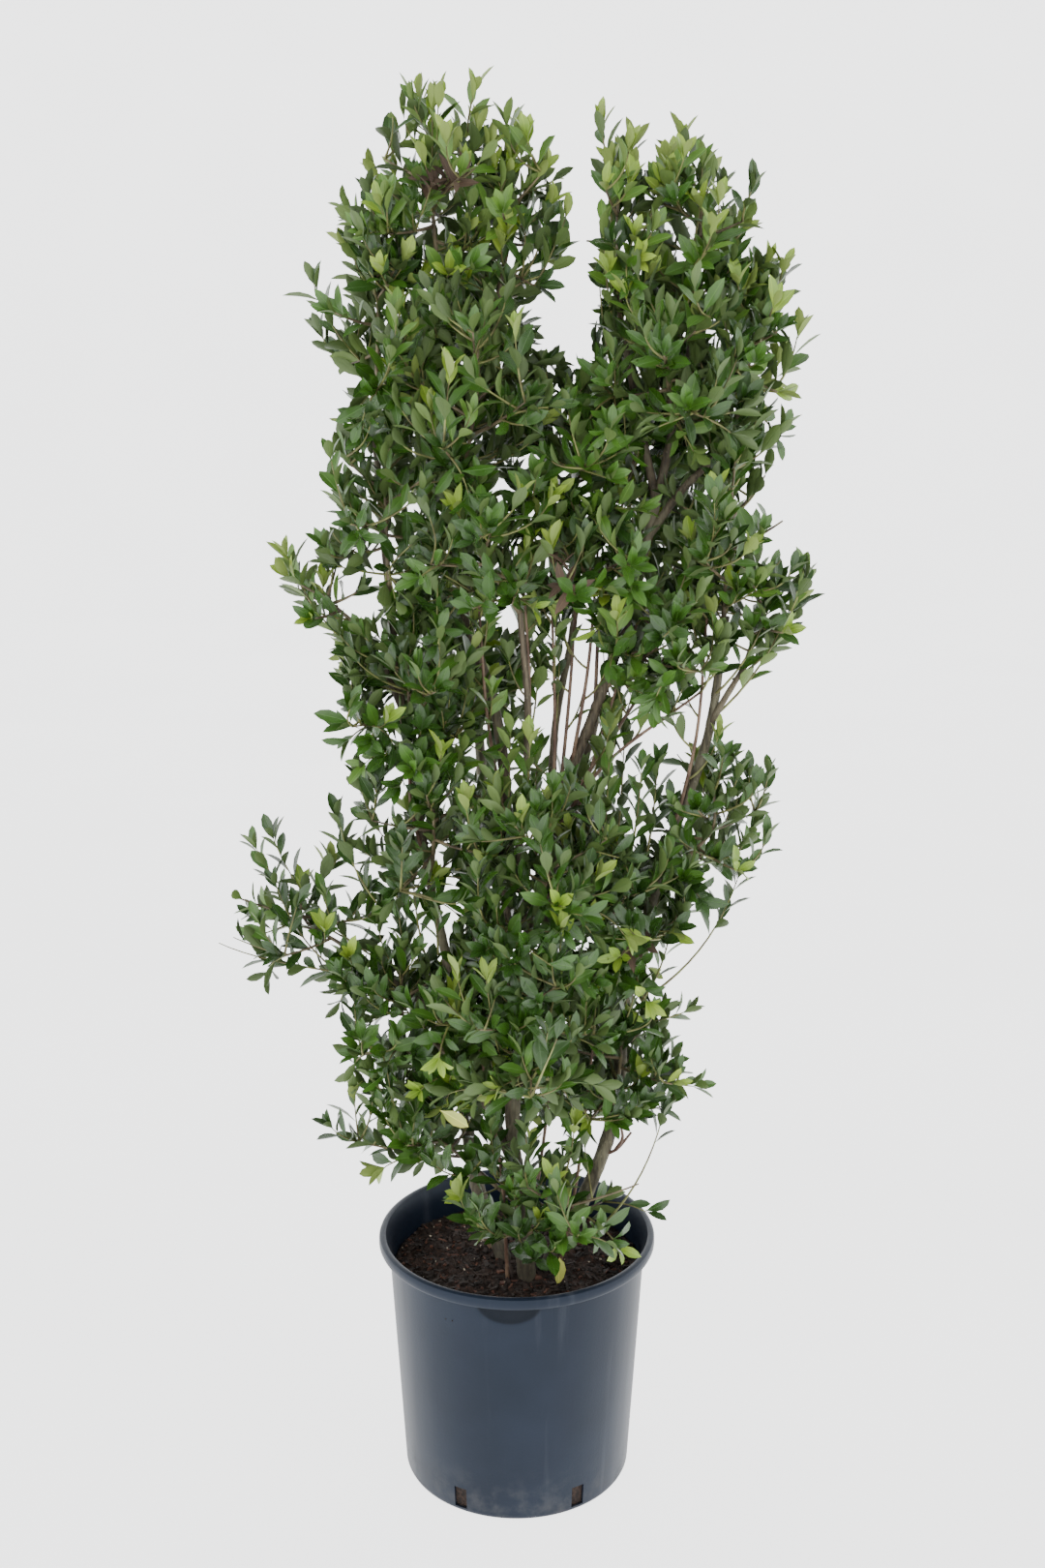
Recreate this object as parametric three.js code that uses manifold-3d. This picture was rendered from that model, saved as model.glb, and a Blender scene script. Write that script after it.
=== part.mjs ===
// A potted evergreen holly shrub: a round nursery pot filled with compost, stems that rise from
// the compost, boughs that fork from the stems, and masses of leafy twigs that hang on the boughs.
// Millimetres, +Z up. The origin is the centre of the pot's flat underside, and -Y is the front.

import * as THREE from "three";
import { ConvexGeometry } from "three/addons/geometries/ConvexGeometry.js";
import { mergeVertices } from "three/addons/utils/BufferGeometryUtils.js";
import Module from "manifold-3d";

const wasm = await Module();
wasm.setup();

// Pot
const POT_HEIGHT = 290;
const POT_SEGMENTS = 36;
const FOOT_RADIUS = 131;
const FOOT_ROUND = 6;
const CORNER_SHARE = 1 - Math.SQRT1_2;
const WALL_TOP_RADIUS = 147;
const WALL_THICKNESS = 2.6;
const FLOOR_THICKNESS = 4;
const RIM_RADIUS = 158.5;
const RIM_DEPTH = 14;
const RIM_ROUND = 3;
const LIP_RADIUS = 149.5;
const SLOT_COUNT = 6;
const SLOT_FIRST_ANGLE = -118.6;
const SLOT_DEPTH = 30;
const SLOT_WIDTH = 15;
const SLOT_HEIGHT = 27;
const SLOT_BOTTOM = 5;

// Compost
const SOIL_TOP = 252;
const SOIL_EDGE_DROP = 5;
const SOIL_LEVEL_RADIUS = 118;

// Fit between separate solids
const GAP = 0.3;
const SHORTEST_EDGE = 0.02;
const CORNER_GRIDS = [1e-3, 1e-4];
const LEAF_CLEARANCE = 0.8;
const SOIL_CLEARANCE = 12;
const RIM_CLEARANCE = 6;

// Limbs
const ROOT_FLARE = 5;
const FLARE_HEIGHT = 22;
const STEM_SIDES = 8;
const BOUGH_SIDES = 6;
const LIMB_STEP = 85;
const PROBE_STEP = 5;
const HEIGHT_PARTS = 200;
const STEM_BERTH = 20;

// Foliage: twigs and leaves, both larger than life because there are fewer of them
const TWIG_SIDES = 3;
const MASS_STEM_SIDES = 4;
const MASS_STEM_RADII = [4.4, 3.3];
const MASS_STEM_BEND = 0.55;
const MASS_STEM_TOP_ROOM = 0.8;
const TWIG_RADIUS = 2.2;
const TWIGS_PER_MASS = 6;
const LEAF_STATIONS = [0.4, 0.7];
const STEM_LEAF_STATIONS = [0.5, 0.68, 0.84];
const LEAF_LENGTH = 68;
const LEAF_WIDTH = 42;
const LEAF_FOLD = 4.5;
const LEAF_WIDEST = 0.56;
const LEAF_SINK = 1;
const LEAF_LEANS = [55, 75, 95].map(THREE.MathUtils.degToRad);
const SAME_MASS_ROOM = 60;
const TWIG_TIP_ROOM = 14;
const TWIG_CHECKS = [0.35, 0.7, 1];
const SHORTEST_TWIG = 26;
const GOLDEN_ANGLE = THREE.MathUtils.degToRad(137.5);
const LEAF_SIZES = [1, 0.82];
const LEAF_SPREAD = 0.5;
const LEAF_EDGE = [[1, 0], [LEAF_WIDEST, 0.5], [LEAF_WIDEST, -0.5], [0.5, 0]];
const LEAF_PROBES = [[0.4, 0], [0.7, 0], [0.95, 0], [LEAF_WIDEST, 0.4], [LEAF_WIDEST, -0.4]];
const TWIG_REACHES = [1, 0.9, 0.8, 0.7, 0.6, 0.5, 0.4];
const HIGHEST_AIM = 0.8;
const LOWEST_AIM = -0.7;
const SPRING_MIDDLE = 0.62;
const SPRING_SPAN = 0.34;
const SPRING_BERTH = 12;
const FIRST_SEED = 101;
const SEED_STEP = 37;

// Colours
const POT_FINISH = { color: 0x2b313b, roughness: 0.42, metalness: 0 };
const SOIL_FINISH = { color: 0x2e201b, roughness: 0.95, metalness: 0 };
const BARK_FINISH = { color: 0x5a4a3a, roughness: 0.85, metalness: 0 };
const YOUNG_BARK_FINISH = { color: 0x6d6b48, roughness: 0.75, metalness: 0 };
const LEAF_FINISH = { color: 0x2f5a2a, roughness: 0.42, metalness: 0 };

// Stems and boughs. A limb starts in the compost, or inside the limb that it forks from at the
// height given there, and passes through a few places on the way to its tip.
const LIMBS = [
  { name: "stem_main", ground: [12, -45], radii: [9.6, 6.5], sides: STEM_SIDES,
    through: [[1, -41, 364], [-4, -40, 425], [1, -37, 488], [23, -33, 541]] },
  { name: "stem_right", ground: [34, -24], radii: [8.8, 4.2], sides: STEM_SIDES,
    through: [[87, -14, 362], [113, -6, 448], [121, 2, 560], [168, 4, 750], [205, 2, 865],
      [222, 0, 1000]] },
  { name: "stem_back", ground: [-14, -6], radii: [8.2, 4.2], sides: STEM_SIDES,
    through: [[-50, 34, 345], [-62, 84, 520], [-40, 112, 760], [-52, 104, 960], [-62, 84, 1110]] },
  { name: "bough_left", from: "stem_main", height: 415, radii: [8.0, 4.0], sides: BOUGH_SIDES,
    through: [[-16, -28, 600], [-10, -8, 760], [-21, 0, 890], [-58, 4, 1017], [-78, 4, 1180],
      [-76, 2, 1310]] },
  { name: "bough_right", from: "stem_main", height: 470, radii: [8.0, 4.0], sides: BOUGH_SIDES,
    through: [[32, -4, 640], [45, 4, 789], [81, 6, 887], [112, 4, 980], [150, 0, 1138],
      [182, 2, 1290]] },
  { name: "bough_left_outer", from: "stem_main", height: 385, radii: [6.4, 3.4], sides: BOUGH_SIDES,
    through: [[-40, -30, 480], [-92, -12, 700], [-122, -4, 900], [-136, -2, 1051], [-146, -2, 1195]] },
  { name: "bough_middle_left", from: "bough_left", height: 640, radii: [5.2, 3.2], sides: BOUGH_SIDES,
    through: [[8, -34, 800], [12, -40, 912], [4, -46, 1010]] },
  { name: "bough_middle_right", from: "bough_right", height: 700, radii: [5.0, 3.2], sides: BOUGH_SIDES,
    through: [[42, 32, 870], [62, 30, 990], [66, 8, 1095]] },
  { name: "bough_right_peak", from: "bough_right", height: 1120, radii: [4.4, 3.2], sides: BOUGH_SIDES,
    through: [[124, 8, 1220], [106, 2, 1305]] },
  { name: "bough_right_lobe", from: "bough_right", height: 1080, radii: [4.6, 3.2], sides: BOUGH_SIDES,
    through: [[170, -6, 1130], [206, -8, 1168], [226, -4, 1200]] },
  { name: "bough_left_peak", from: "bough_left", height: 1120, radii: [4.4, 3.0], sides: BOUGH_SIDES,
    through: [[-48, 18, 1225], [-24, 20, 1300]] },
  { name: "bough_back_right", from: "stem_back", height: 420, radii: [6.4, 3.6], sides: BOUGH_SIDES,
    through: [[-8, 84, 560], [62, 112, 760], [112, 112, 960], [146, 92, 1130]] },
  { name: "bough_low_left", from: "bough_left_outer", height: 520, radii: [4.6, 3.0], sides: BOUGH_SIDES,
    through: [[-100, -22, 570], [-146, -12, 604]] },
  { name: "bough_arm_left", from: "bough_left_outer", height: 900, radii: [4.0, 2.8], sides: BOUGH_SIDES,
    through: [[-142, -6, 950], [-162, -4, 985]] },
  { name: "bough_arm_right", from: "stem_right", height: 880, radii: [3.8, 2.8], sides: BOUGH_SIDES,
    through: [[226, -8, 920], [243, -6, 948]] },
];

// Masses of foliage. Each has its name, the limb and the height at which its stem springs, the
// middle of the space that it keeps to, and how far that space reaches along X, Y and Z.
const MASSES = [
  ["left_top", "bough_left", 1320, [-84, 0, 1418], [69, 83, 112]],
  ["left_peak", "bough_left_peak", 1310, [-6, 18, 1388], [58, 78, 100]],
  ["left_upper", "bough_left_outer", 1200, [-140, -6, 1292], [64, 83, 108]],
  ["left_heart", "bough_left", 1070, [-38, -61, 1236], [74, 85, 92]],
  ["left_back", "stem_back", 1115, [-72, 107, 1236], [86, 83, 112]],
  ["left_middle", "bough_left_outer", 1020, [-136, -18, 1112], [68, 87, 94]],
  ["left_inner", "bough_middle_left", 1015, [-36, -68, 1072], [66, 78, 86]],
  ["right_peak", "bough_right_peak", 1310, [102, -6, 1388], [46, 67, 100]],
  ["right_top", "bough_right", 1295, [186, 6, 1385], [56, 74, 98]],
  ["right_lobe", "bough_right_lobe", 1205, [240, 0, 1278], [49, 69, 92]],
  ["right_heart", "bough_right", 1190, [150, -59, 1255], [70, 81, 86]],
  ["right_back", "bough_back_right", 1135, [162, 107, 1232], [82, 78, 108]],
  ["right_middle", "stem_right", 960, [222, -15, 1118], [74, 87, 82]],
  ["centre_upper", "bough_middle_right", 1100, [60, 2, 1166], [68, 96, 86]],
  ["centre", "bough_middle_right", 1010, [76, -49, 1050], [62, 74, 62]],
  ["right_inner", "bough_right", 920, [150, -24, 975], [62, 85, 82]],
  ["right_arm", "bough_arm_right", 950, [262, 0, 1012], [52, 60, 76]],
  ["left_arm", "bough_arm_left", 990, [-204, 0, 1022], [52, 52, 62]],
  ["left_waist", "bough_left_outer", 840, [-118, -15, 922], [82, 99, 90]],
  ["back_waist", "stem_back", 860, [-56, 122, 942], [82, 83, 104]],
  ["back_right", "bough_back_right", 940, [176, 112, 1036], [74, 74, 92]],
  ["left_low", "bough_left_outer", 700, [-88, -41, 774], [80, 96, 92]],
  ["front", "bough_left", 620, [34, -95, 742], [80, 85, 106]],
  ["back", "bough_back_right", 650, [22, 132, 716], [104, 83, 112]],
  ["right_low", "stem_right", 610, [112, -17, 688], [74, 99, 90]],
  ["right_side", "stem_right", 690, [214, 0, 768], [66, 87, 96]],
  ["arm_low_left", "bough_low_left", 610, [-236, 0, 666], [100, 67, 84]],
  ["lower_left", "bough_left_outer", 480, [-108, -27, 566], [90, 99, 98]],
  ["foot_left", "stem_main", 340, [-108, -12, 428], [90, 94, 78]],
  ["lower_front", "stem_main", 541, [12, -112, 580], [84, 83, 104]],
  ["lower_right", "stem_right", 430, [116, -17, 508], [86, 99, 96]],
  ["foot", "stem_main", 300, [56, -93, 368], [100, 72, 64]],
  ["lower_back", "stem_back", 400, [6, 120, 482], [112, 85, 112]],
];

const UP = new THREE.Vector3(0, 0, 1);

function vector(place) {
  return new THREE.Vector3(...place);
}

// A closed geometry becomes a solid that can be joined and cut.
function toSolid(geometry) {
  geometry.deleteAttribute("normal");
  geometry.deleteAttribute("uv");
  const merged = mergeVertices(geometry, 1e-4);
  return new wasm.Manifold(new wasm.Mesh({
    numProp: 3,
    vertProperties: new Float32Array(merged.attributes.position.array),
    triVerts: new Uint32Array(merged.index.array),
  }));
}

// Edges too short to matter are closed up. Of what is left after joining and cutting, the largest
// body is kept: loose scraps are dropped, and so are the skins of hollows that the joining sealed.
function largestBody(solid) {
  const bodies = solid.simplify(SHORTEST_EDGE).decompose();
  return bodies.reduce((best, body) => (body.volume() > best.volume() ? body : best));
}

// Whether every edge still has just two faces once the corners are rounded off to a grid.
function isClosed(solid, grid) {
  const { vertProperties, triVerts } = solid.getMesh();
  const uses = new Map();
  const corner = (index) => [0, 1, 2].map((axis) => (
    Math.trunc(vertProperties[3 * index + axis] / grid + 0.5))).join();
  for (let face = 0; face < triVerts.length; face += 3) {
    const corners = [0, 1, 2].map((side) => corner(triVerts[face + side]));
    if (new Set(corners).size < 3) continue;
    for (let side = 0; side < 3; side++) {
      const edge = [corners[side], corners[(side + 1) % 3]].sort().join(" ");
      uses.set(edge, (uses.get(edge) ?? 0) + 1);
    }
  }
  return [...uses.values()].every((count) => count === 2);
}

function toMesh(name, solid, finish) {
  const { vertProperties, triVerts } = solid.getMesh();
  const geometry = new THREE.BufferGeometry();
  geometry.setAttribute("position", new THREE.BufferAttribute(vertProperties, 3));
  geometry.setIndex(new THREE.BufferAttribute(triVerts, 1));
  geometry.computeVertexNormals();
  const mesh = new THREE.Mesh(geometry, new THREE.MeshStandardMaterial(finish));
  mesh.name = name;
  return mesh;
}

// Pot and compost
function lathe(profile) {
  const geometry = new THREE.LatheGeometry(profile.map(([r, z]) => new THREE.Vector2(r, z)), POT_SEGMENTS);
  return toSolid(geometry.rotateX(Math.PI / 2));
}

function wallRadius(height) {
  const share = (height - FOOT_ROUND) / (POT_HEIGHT - RIM_DEPTH - FOOT_ROUND);
  return THREE.MathUtils.lerp(FOOT_RADIUS, WALL_TOP_RADIUS, share);
}

function innerRadius(height) {
  return wallRadius(height) - WALL_THICKNESS;
}

function potSolid() {
  const underRim = POT_HEIGHT - RIM_DEPTH;
  let pot = lathe([
    [0, 0],
    [FOOT_RADIUS - FOOT_ROUND, 0],
    [FOOT_RADIUS - FOOT_ROUND * CORNER_SHARE, FOOT_ROUND * CORNER_SHARE],
    [FOOT_RADIUS, FOOT_ROUND],
    [WALL_TOP_RADIUS, underRim],
    [RIM_RADIUS - RIM_ROUND, underRim],
    [RIM_RADIUS, underRim + RIM_ROUND],
    [RIM_RADIUS, POT_HEIGHT - RIM_ROUND],
    [RIM_RADIUS - RIM_ROUND, POT_HEIGHT],
    [LIP_RADIUS + RIM_ROUND, POT_HEIGHT],
    [LIP_RADIUS, POT_HEIGHT - RIM_ROUND],
    [innerRadius(underRim), underRim],
    [innerRadius(FLOOR_THICKNESS), FLOOR_THICKNESS],
    [0, FLOOR_THICKNESS],
  ]);
  for (let slot = 0; slot < SLOT_COUNT; slot++) {
    const angle = THREE.MathUtils.degToRad(SLOT_FIRST_ANGLE + (slot * 360) / SLOT_COUNT);
    const cutter = new THREE.BoxGeometry(SLOT_DEPTH, SLOT_WIDTH, SLOT_HEIGHT);
    cutter.translate(FOOT_RADIUS, 0, SLOT_BOTTOM + SLOT_HEIGHT / 2);
    pot = pot.subtract(toSolid(cutter.rotateZ(angle)));
  }
  return pot;
}

function soilSolid() {
  const bottom = FLOOR_THICKNESS + GAP;
  const edge = SOIL_TOP - SOIL_EDGE_DROP;
  return lathe([
    [0, bottom],
    [innerRadius(bottom) - GAP, bottom],
    [innerRadius(edge) - GAP, edge],
    [SOIL_LEVEL_RADIUS, SOIL_TOP],
    [0, SOIL_TOP],
  ]);
}

// A limb is a cylinder bent along its curve and tapered. With grow it is thicker all round and
// longer at both ends, which is the shape that its neighbours are cut clear of.
function limbSolid(limb, grow = 0) {
  const steps = limbSteps(limb);
  const frames = limb.curve.computeFrenetFrames(steps, false);
  const spread = grow / Math.cos(Math.PI / limb.sides);
  const geometry = new THREE.CylinderGeometry(1, 1, 1, limb.sides, steps);
  const spots = geometry.attributes.position;
  for (let i = 0; i < spots.count; i++) {
    const share = spots.getY(i) + 0.5;
    const step = Math.round(share * steps);
    const radius = limbRadius(limb, share) + spread;
    const spot = spineAt(limb, share);
    spot.addScaledVector(frames.binormals[step], spots.getX(i) * radius);
    spot.addScaledVector(frames.normals[step], spots.getZ(i) * radius);
    if (step === 0 && !limb.ground) spot.addScaledVector(frames.tangents[0], -grow);
    if (step === steps) spot.addScaledVector(frames.tangents[steps], grow);
    if (step === 0 && limb.ground) spot.z = SOIL_TOP + GAP;
    spots.setXYZ(i, spot.x, spot.y, spot.z);
  }
  return toSolid(geometry);
}

// A spot on the middle line of a limb as it is built, in straight lengths.
function spineAt(limb, share) {
  const steps = limbSteps(limb);
  const before = Math.min(Math.floor(share * steps), steps - 1);
  const start = limb.curve.getPointAt(before / steps);
  return start.lerp(limb.curve.getPointAt((before + 1) / steps), share * steps - before);
}

function limbSteps(limb) {
  return limb.straight ? 1 : Math.round(limb.curve.getLength() / LIMB_STEP) + 1;
}

function limbRadius(limb, share) {
  const plain = THREE.MathUtils.lerp(limb.radii[0], limb.radii[1], share);
  if (!limb.ground) return plain;
  return plain + ROOT_FLARE * Math.exp((-share * limb.curve.getLength()) / FLARE_HEIGHT);
}

// The share of a limb's length at which it first reaches a height.
function shareAtHeight(limb, height) {
  for (let i = 0; i <= HEIGHT_PARTS; i++) {
    if (spineAt(limb, i / HEIGHT_PARTS).z >= height) return i / HEIGHT_PARTS;
  }
  return 1;
}

function springPoint(limb, height) {
  return spineAt(limb, shareAtHeight(limb, height));
}

function smoothCurve(points) {
  return new THREE.CatmullRomCurve3(points, false, "centripetal");
}

// Points along a limb, used to keep twigs and leaves off it.
function probes(limb) {
  const count = Math.ceil(limb.curve.getLength() / PROBE_STEP);
  return Array.from({ length: count + 1 }, (_, i) => ({
    spot: spineAt(limb, i / count),
    radius: limbRadius(limb, i / count),
  }));
}

// The same seed always grows the same plant.
function randomSource(seed) {
  const range = 2147483647;
  let state = seed;
  return () => {
    state = (state * 16807) % range;
    return state / range;
  };
}

// How deep a spot lies in the space of a mass, in mm of clearance from where the space of any
// neighbour starts, or a negative number outside the mass's own reach.
function roomAt(spot, mass) {
  const [x, y, z] = mass.centre.map((value, axis) => (spot.getComponent(axis) - value) / mass.reach[axis]);
  if (x * x + y * y + z * z > 1) return -1;
  if (spot.z < SOIL_TOP + SOIL_CLEARANCE) return -1;
  const nearWall = Math.hypot(spot.x, spot.y) > LIP_RADIUS - RIM_CLEARANCE;
  if (nearWall && spot.z < POT_HEIGHT + RIM_CLEARANCE) return -1;
  const own = spot.distanceToSquared(mass.middle) - mass.size ** 2;
  let room = Infinity;
  for (const other of mass.neighbours) {
    const theirs = spot.distanceToSquared(other.middle) - other.size ** 2;
    room = Math.min(room, (theirs - own) / (2 * other.middle.distanceTo(mass.middle)));
  }
  return room;
}

function inOwnSpace(spot, mass) {
  return roomAt(spot, mass) > LEAF_CLEARANCE;
}

// A twig keeps to its space and clear of every limb but the mass's own stem.
function twigIsClear(start, end, radius, mass) {
  const line = new THREE.Line3(start, end);
  const spot = new THREE.Vector3();
  for (const share of TWIG_CHECKS) {
    if (!inOwnSpace(line.at(share, spot), mass)) return false;
  }
  for (const probe of mass.probes) {
    line.closestPointToPoint(probe.spot, true, spot);
    if (spot.distanceTo(probe.spot) < probe.radius + radius + LEAF_CLEARANCE) return false;
  }
  return true;
}

// A leaf's own frame: along its midrib, across its blade, and square to the blade.
function leafFrame(root, along, across, length) {
  const face = new THREE.Vector3().crossVectors(across, along).normalize();
  return { root, along, across: across.normalize(), face, length };
}

function leafPoint(leaf, along, across, face) {
  return leaf.root.clone().addScaledVector(leaf.along, along * leaf.length)
    .addScaledVector(leaf.across, (across * leaf.length * LEAF_WIDTH) / LEAF_LENGTH)
    .addScaledVector(leaf.face, face);
}

function leafIsClear(leaf, mass, taken) {
  const edge = LEAF_EDGE.map(([along, across]) => leafPoint(leaf, along, across, 0));
  if (!edge.every((spot) => inOwnSpace(spot, mass))) return false;
  const halfWidth = (leaf.length * LEAF_WIDTH) / LEAF_LENGTH / 2;
  const offset = new THREE.Vector3();
  return [...mass.probes, ...taken].every((probe) => {
    const margin = probe.radius + LEAF_CLEARANCE + LEAF_FOLD / 2;
    offset.subVectors(probe.spot, leaf.root);
    const along = offset.dot(leaf.along);
    const across = Math.abs(offset.dot(leaf.across));
    const away = Math.abs(offset.dot(leaf.face));
    return along < -margin || along > leaf.length + margin || across > halfWidth + margin || away > margin;
  });
}

function leafProbes(leaf) {
  return LEAF_PROBES.map(([along, across]) => (
    { spot: leafPoint(leaf, along, across, 0), radius: LEAF_SPREAD }));
}

// A leaf is a kite folded up along its midrib: root, tip and the two sides make a flat
// tetrahedron, sharp at its edge and thickest under the midrib.
function leafSolid(leaf) {
  return toSolid(new ConvexGeometry([
    leafPoint(leaf, 0, 0, 0),
    leafPoint(leaf, 1, 0, 0),
    leafPoint(leaf, LEAF_WIDEST, 0.5, LEAF_FOLD),
    leafPoint(leaf, LEAF_WIDEST, -0.5, LEAF_FOLD),
  ]));
}

// A spot on the stem of a mass is moved sideways until it is well clear of every limb.
function steered(spot) {
  for (const probe of limbProbes) {
    const berth = probe.radius + STEM_BERTH;
    const away = spot.clone().sub(probe.spot);
    const distance = away.length();
    if (distance > berth) continue;
    away.z = 0;
    spot.addScaledVector(away.normalize(), berth - distance);
  }
  return spot;
}

// The stem of a mass leaves its limb, crosses the middle of the mass and turns up to its top.
function massStemCurve(mass) {
  const middle = steered(mass.middle.clone());
  const rise = mass.reach[2] - LEAF_LENGTH * MASS_STEM_TOP_ROOM;
  const top = steered(middle.clone().addScaledVector(UP, rise));
  const bend = mass.foot.clone().lerp(middle, MASS_STEM_BEND);
  return smoothCurve([mass.foot, bend, middle, top]);
}

// The leaf that a shoot could bear at a station along it, on the middle of one of its sides.
function leafOn(shoot, station, side, lean, length) {
  const steps = limbSteps(shoot);
  const step = Math.round(station * steps);
  const heading = shoot.curve.getTangentAt(station);
  const angle = ((side + 0.5) * 2 * Math.PI) / shoot.sides;
  const along = heading.clone().multiplyScalar(Math.cos(lean))
    .addScaledVector(shoot.frames.binormals[step], Math.sin(lean) * Math.sin(angle))
    .addScaledVector(shoot.frames.normals[step], Math.sin(lean) * Math.cos(angle)).normalize();
  const across = new THREE.Vector3().crossVectors(along, heading);
  if (across.lengthSq() < 1e-6) across.copy(shoot.frames.binormals[step]);
  const root = spineAt(shoot, station).addScaledVector(along, -LEAF_SINK);
  return leafFrame(root, along, across, length);
}

// Leaves along a shoot, at the given stations and one at its end. At each station the leaf takes
// the side and the lean that keep it furthest from its neighbours, is made smaller where there is
// no room for it in full, and is left out if that doesn't help.
function leavesOn(shoot, stations, random, taken, placed) {
  const leaves = [];
  for (const station of [...stations, 1]) {
    const length = LEAF_LENGTH * (0.9 + 0.2 * random());
    const leans = station === 1 ? [0, ...LEAF_LEANS] : LEAF_LEANS;
    for (const size of LEAF_SIZES) {
      let best = null;
      let bestRoom = 0;
      for (const lean of leans) {
        for (let side = 0; side < shoot.sides; side++) {
          const leaf = leafOn(shoot, station, side, lean, length * size);
          if (!leafIsClear(leaf, shoot.mass, taken)) continue;
          const middle = leafPoint(leaf, LEAF_WIDEST, 0, 0);
          const room = Math.min(SAME_MASS_ROOM, ...[...placed, ...leaves].map((other) => (
            leafPoint(other, LEAF_WIDEST, 0, 0).distanceTo(middle))));
          if (room <= bestRoom) continue;
          best = leaf;
          bestRoom = room;
        }
      }
      if (!best) continue;
      leaves.push(best);
      taken.push(...leafProbes(best));
      break;
    }
  }
  return leaves;
}

// Twigs spring from the mass's stem towards places spread evenly, by the golden angle, over the
// mass's reach. One that finds no room is drawn in, and left out if that doesn't help.
function growMass(mass) {
  const random = randomSource(mass.seed);
  const stem = { curve: mass.stemCurve, radii: MASS_STEM_RADII, sides: MASS_STEM_SIDES };
  const shoots = [];
  for (let twig = 0; twig < TWIGS_PER_MASS; twig++) {
    const height = THREE.MathUtils.lerp(HIGHEST_AIM, LOWEST_AIM, (twig + 0.5) / TWIGS_PER_MASS);
    const ring = Math.sqrt(1 - height * height);
    const angle = twig * GOLDEN_ANGLE + mass.seed;
    const aim = new THREE.Vector3(ring * Math.cos(angle), ring * Math.sin(angle), height);
    const spring = spineAt(stem, SPRING_MIDDLE + SPRING_SPAN * height);
    for (const share of TWIG_REACHES) {
      const tip = vector(mass.centre.map((value, axis) => (
        value + aim.getComponent(axis) * mass.reach[axis] * share)));
      const heading = tip.clone().sub(spring).normalize();
      const end = tip.clone().addScaledVector(heading, -TWIG_TIP_ROOM);
      if (end.clone().sub(spring).dot(heading) < SHORTEST_TWIG) continue;
      if (!twigIsClear(spring, end, TWIG_RADIUS, mass)) continue;
      const curve = new THREE.LineCurve3(spring, end);
      shoots.push({ curve, radii: [TWIG_RADIUS, TWIG_RADIUS], sides: TWIG_SIDES, straight: true });
      break;
    }
  }
  const leaves = [];
  for (const shoot of [stem, ...shoots]) {
    shoot.mass = mass;
    shoot.frames = shoot.curve.computeFrenetFrames(limbSteps(shoot), false);
    const others = [...shoots, stem].filter((other) => other !== shoot).flatMap(probes);
    const spring = shoot.curve.getPointAt(0);
    const taken = others.filter((probe) => probe.spot.distanceTo(spring) > SPRING_BERTH);
    taken.push(...leaves.flatMap(leafProbes));
    const stations = shoot === stem ? STEM_LEAF_STATIONS : LEAF_STATIONS;
    leaves.push(...leavesOn(shoot, stations, random, taken, leaves));
  }
  return { stem, shoots, leaves };
}

// Settle every limb's curve, then every mass's space and stem, before any solid is made.
const limbs = new Map();
for (const limb of LIMBS) {
  const start = limb.ground
    ? new THREE.Vector3(...limb.ground, SOIL_TOP + GAP)
    : springPoint(limbs.get(limb.from), limb.height);
  limbs.set(limb.name, { ...limb, curve: smoothCurve([start, ...limb.through.map(vector)]) });
}

const masses = MASSES.map(([name, limb, height, centre, reach], index) => ({
  name: `foliage_${name}`,
  centre,
  reach,
  seed: FIRST_SEED + SEED_STEP * index,
  middle: vector(centre),
  size: Math.cbrt(reach[0] * reach[1] * reach[2]),
  foot: springPoint(limbs.get(limb), height),
}));

const limbProbes = [...limbs.values()].flatMap(probes);
for (const mass of masses) mass.stemCurve = massStemCurve(mass);
const stemProbes = masses.map((mass) => probes({ curve: mass.stemCurve, radii: MASS_STEM_RADII }));
masses.forEach((mass, index) => {
  const span = Math.max(...mass.reach) + LEAF_LENGTH;
  mass.neighbours = masses.filter((other) => {
    const reaches = Math.max(...mass.reach) + Math.max(...other.reach);
    return other !== mass && other.middle.distanceTo(mass.middle) < reaches;
  });
  const others = stemProbes.filter((_, stem) => stem !== index).flat();
  mass.probes = [...limbProbes, ...others].filter((probe) => probe.spot.distanceTo(mass.middle) < span);
});

const plant = new THREE.Group();
plant.name = "potted_shrub";
plant.add(toMesh("pot", potSolid(), POT_FINISH));
plant.add(toMesh("soil", soilSolid(), SOIL_FINISH));

// Each limb is cut clear of the limbs made before it, so a fork is a seated joint with a gap.
const grownLimbs = [];
for (const limb of limbs.values()) {
  const solid = grownLimbs.reduce((left, grown) => left.subtract(grown), limbSolid(limb));
  const finish = limb.name.startsWith("bough") ? YOUNG_BARK_FINISH : BARK_FINISH;
  plant.add(toMesh(limb.name, largestBody(solid), finish));
  grownLimbs.push(limbSolid(limb, GAP));
}

// A mass gives up leaves, the last grown first, until what is left is one closed body.
function massSolid({ stem, shoots, leaves }) {
  const pieces = [stem, ...shoots].map((shoot) => limbSolid(shoot)).concat(leaves.map(leafSolid));
  const joined = wasm.Manifold.union(pieces);
  const body = largestBody(grownLimbs.reduce((left, grown) => left.subtract(grown), joined));
  if (CORNER_GRIDS.every((grid) => isClosed(body, grid))) return body;
  return massSolid({ stem, shoots, leaves: leaves.slice(0, -1) });
}

for (const mass of masses) plant.add(toMesh(mass.name, massSolid(growMass(mass)), LEAF_FINISH));

export default plant;
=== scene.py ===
"""A potted evergreen holly shrub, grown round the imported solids.

Metres, +Z up, the front is -Y and the origin is the centre of the pot's flat underside. Sizes of
the pot and of the plant's growth are in millimetres, as in the solids' own source.
"""

import functools
import math
from collections import namedtuple

import bmesh
import bpy
import numpy as np
from bpy.props import FloatProperty, IntProperty, PointerProperty
from mathutils import Euler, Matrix, Vector, kdtree, noise


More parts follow.
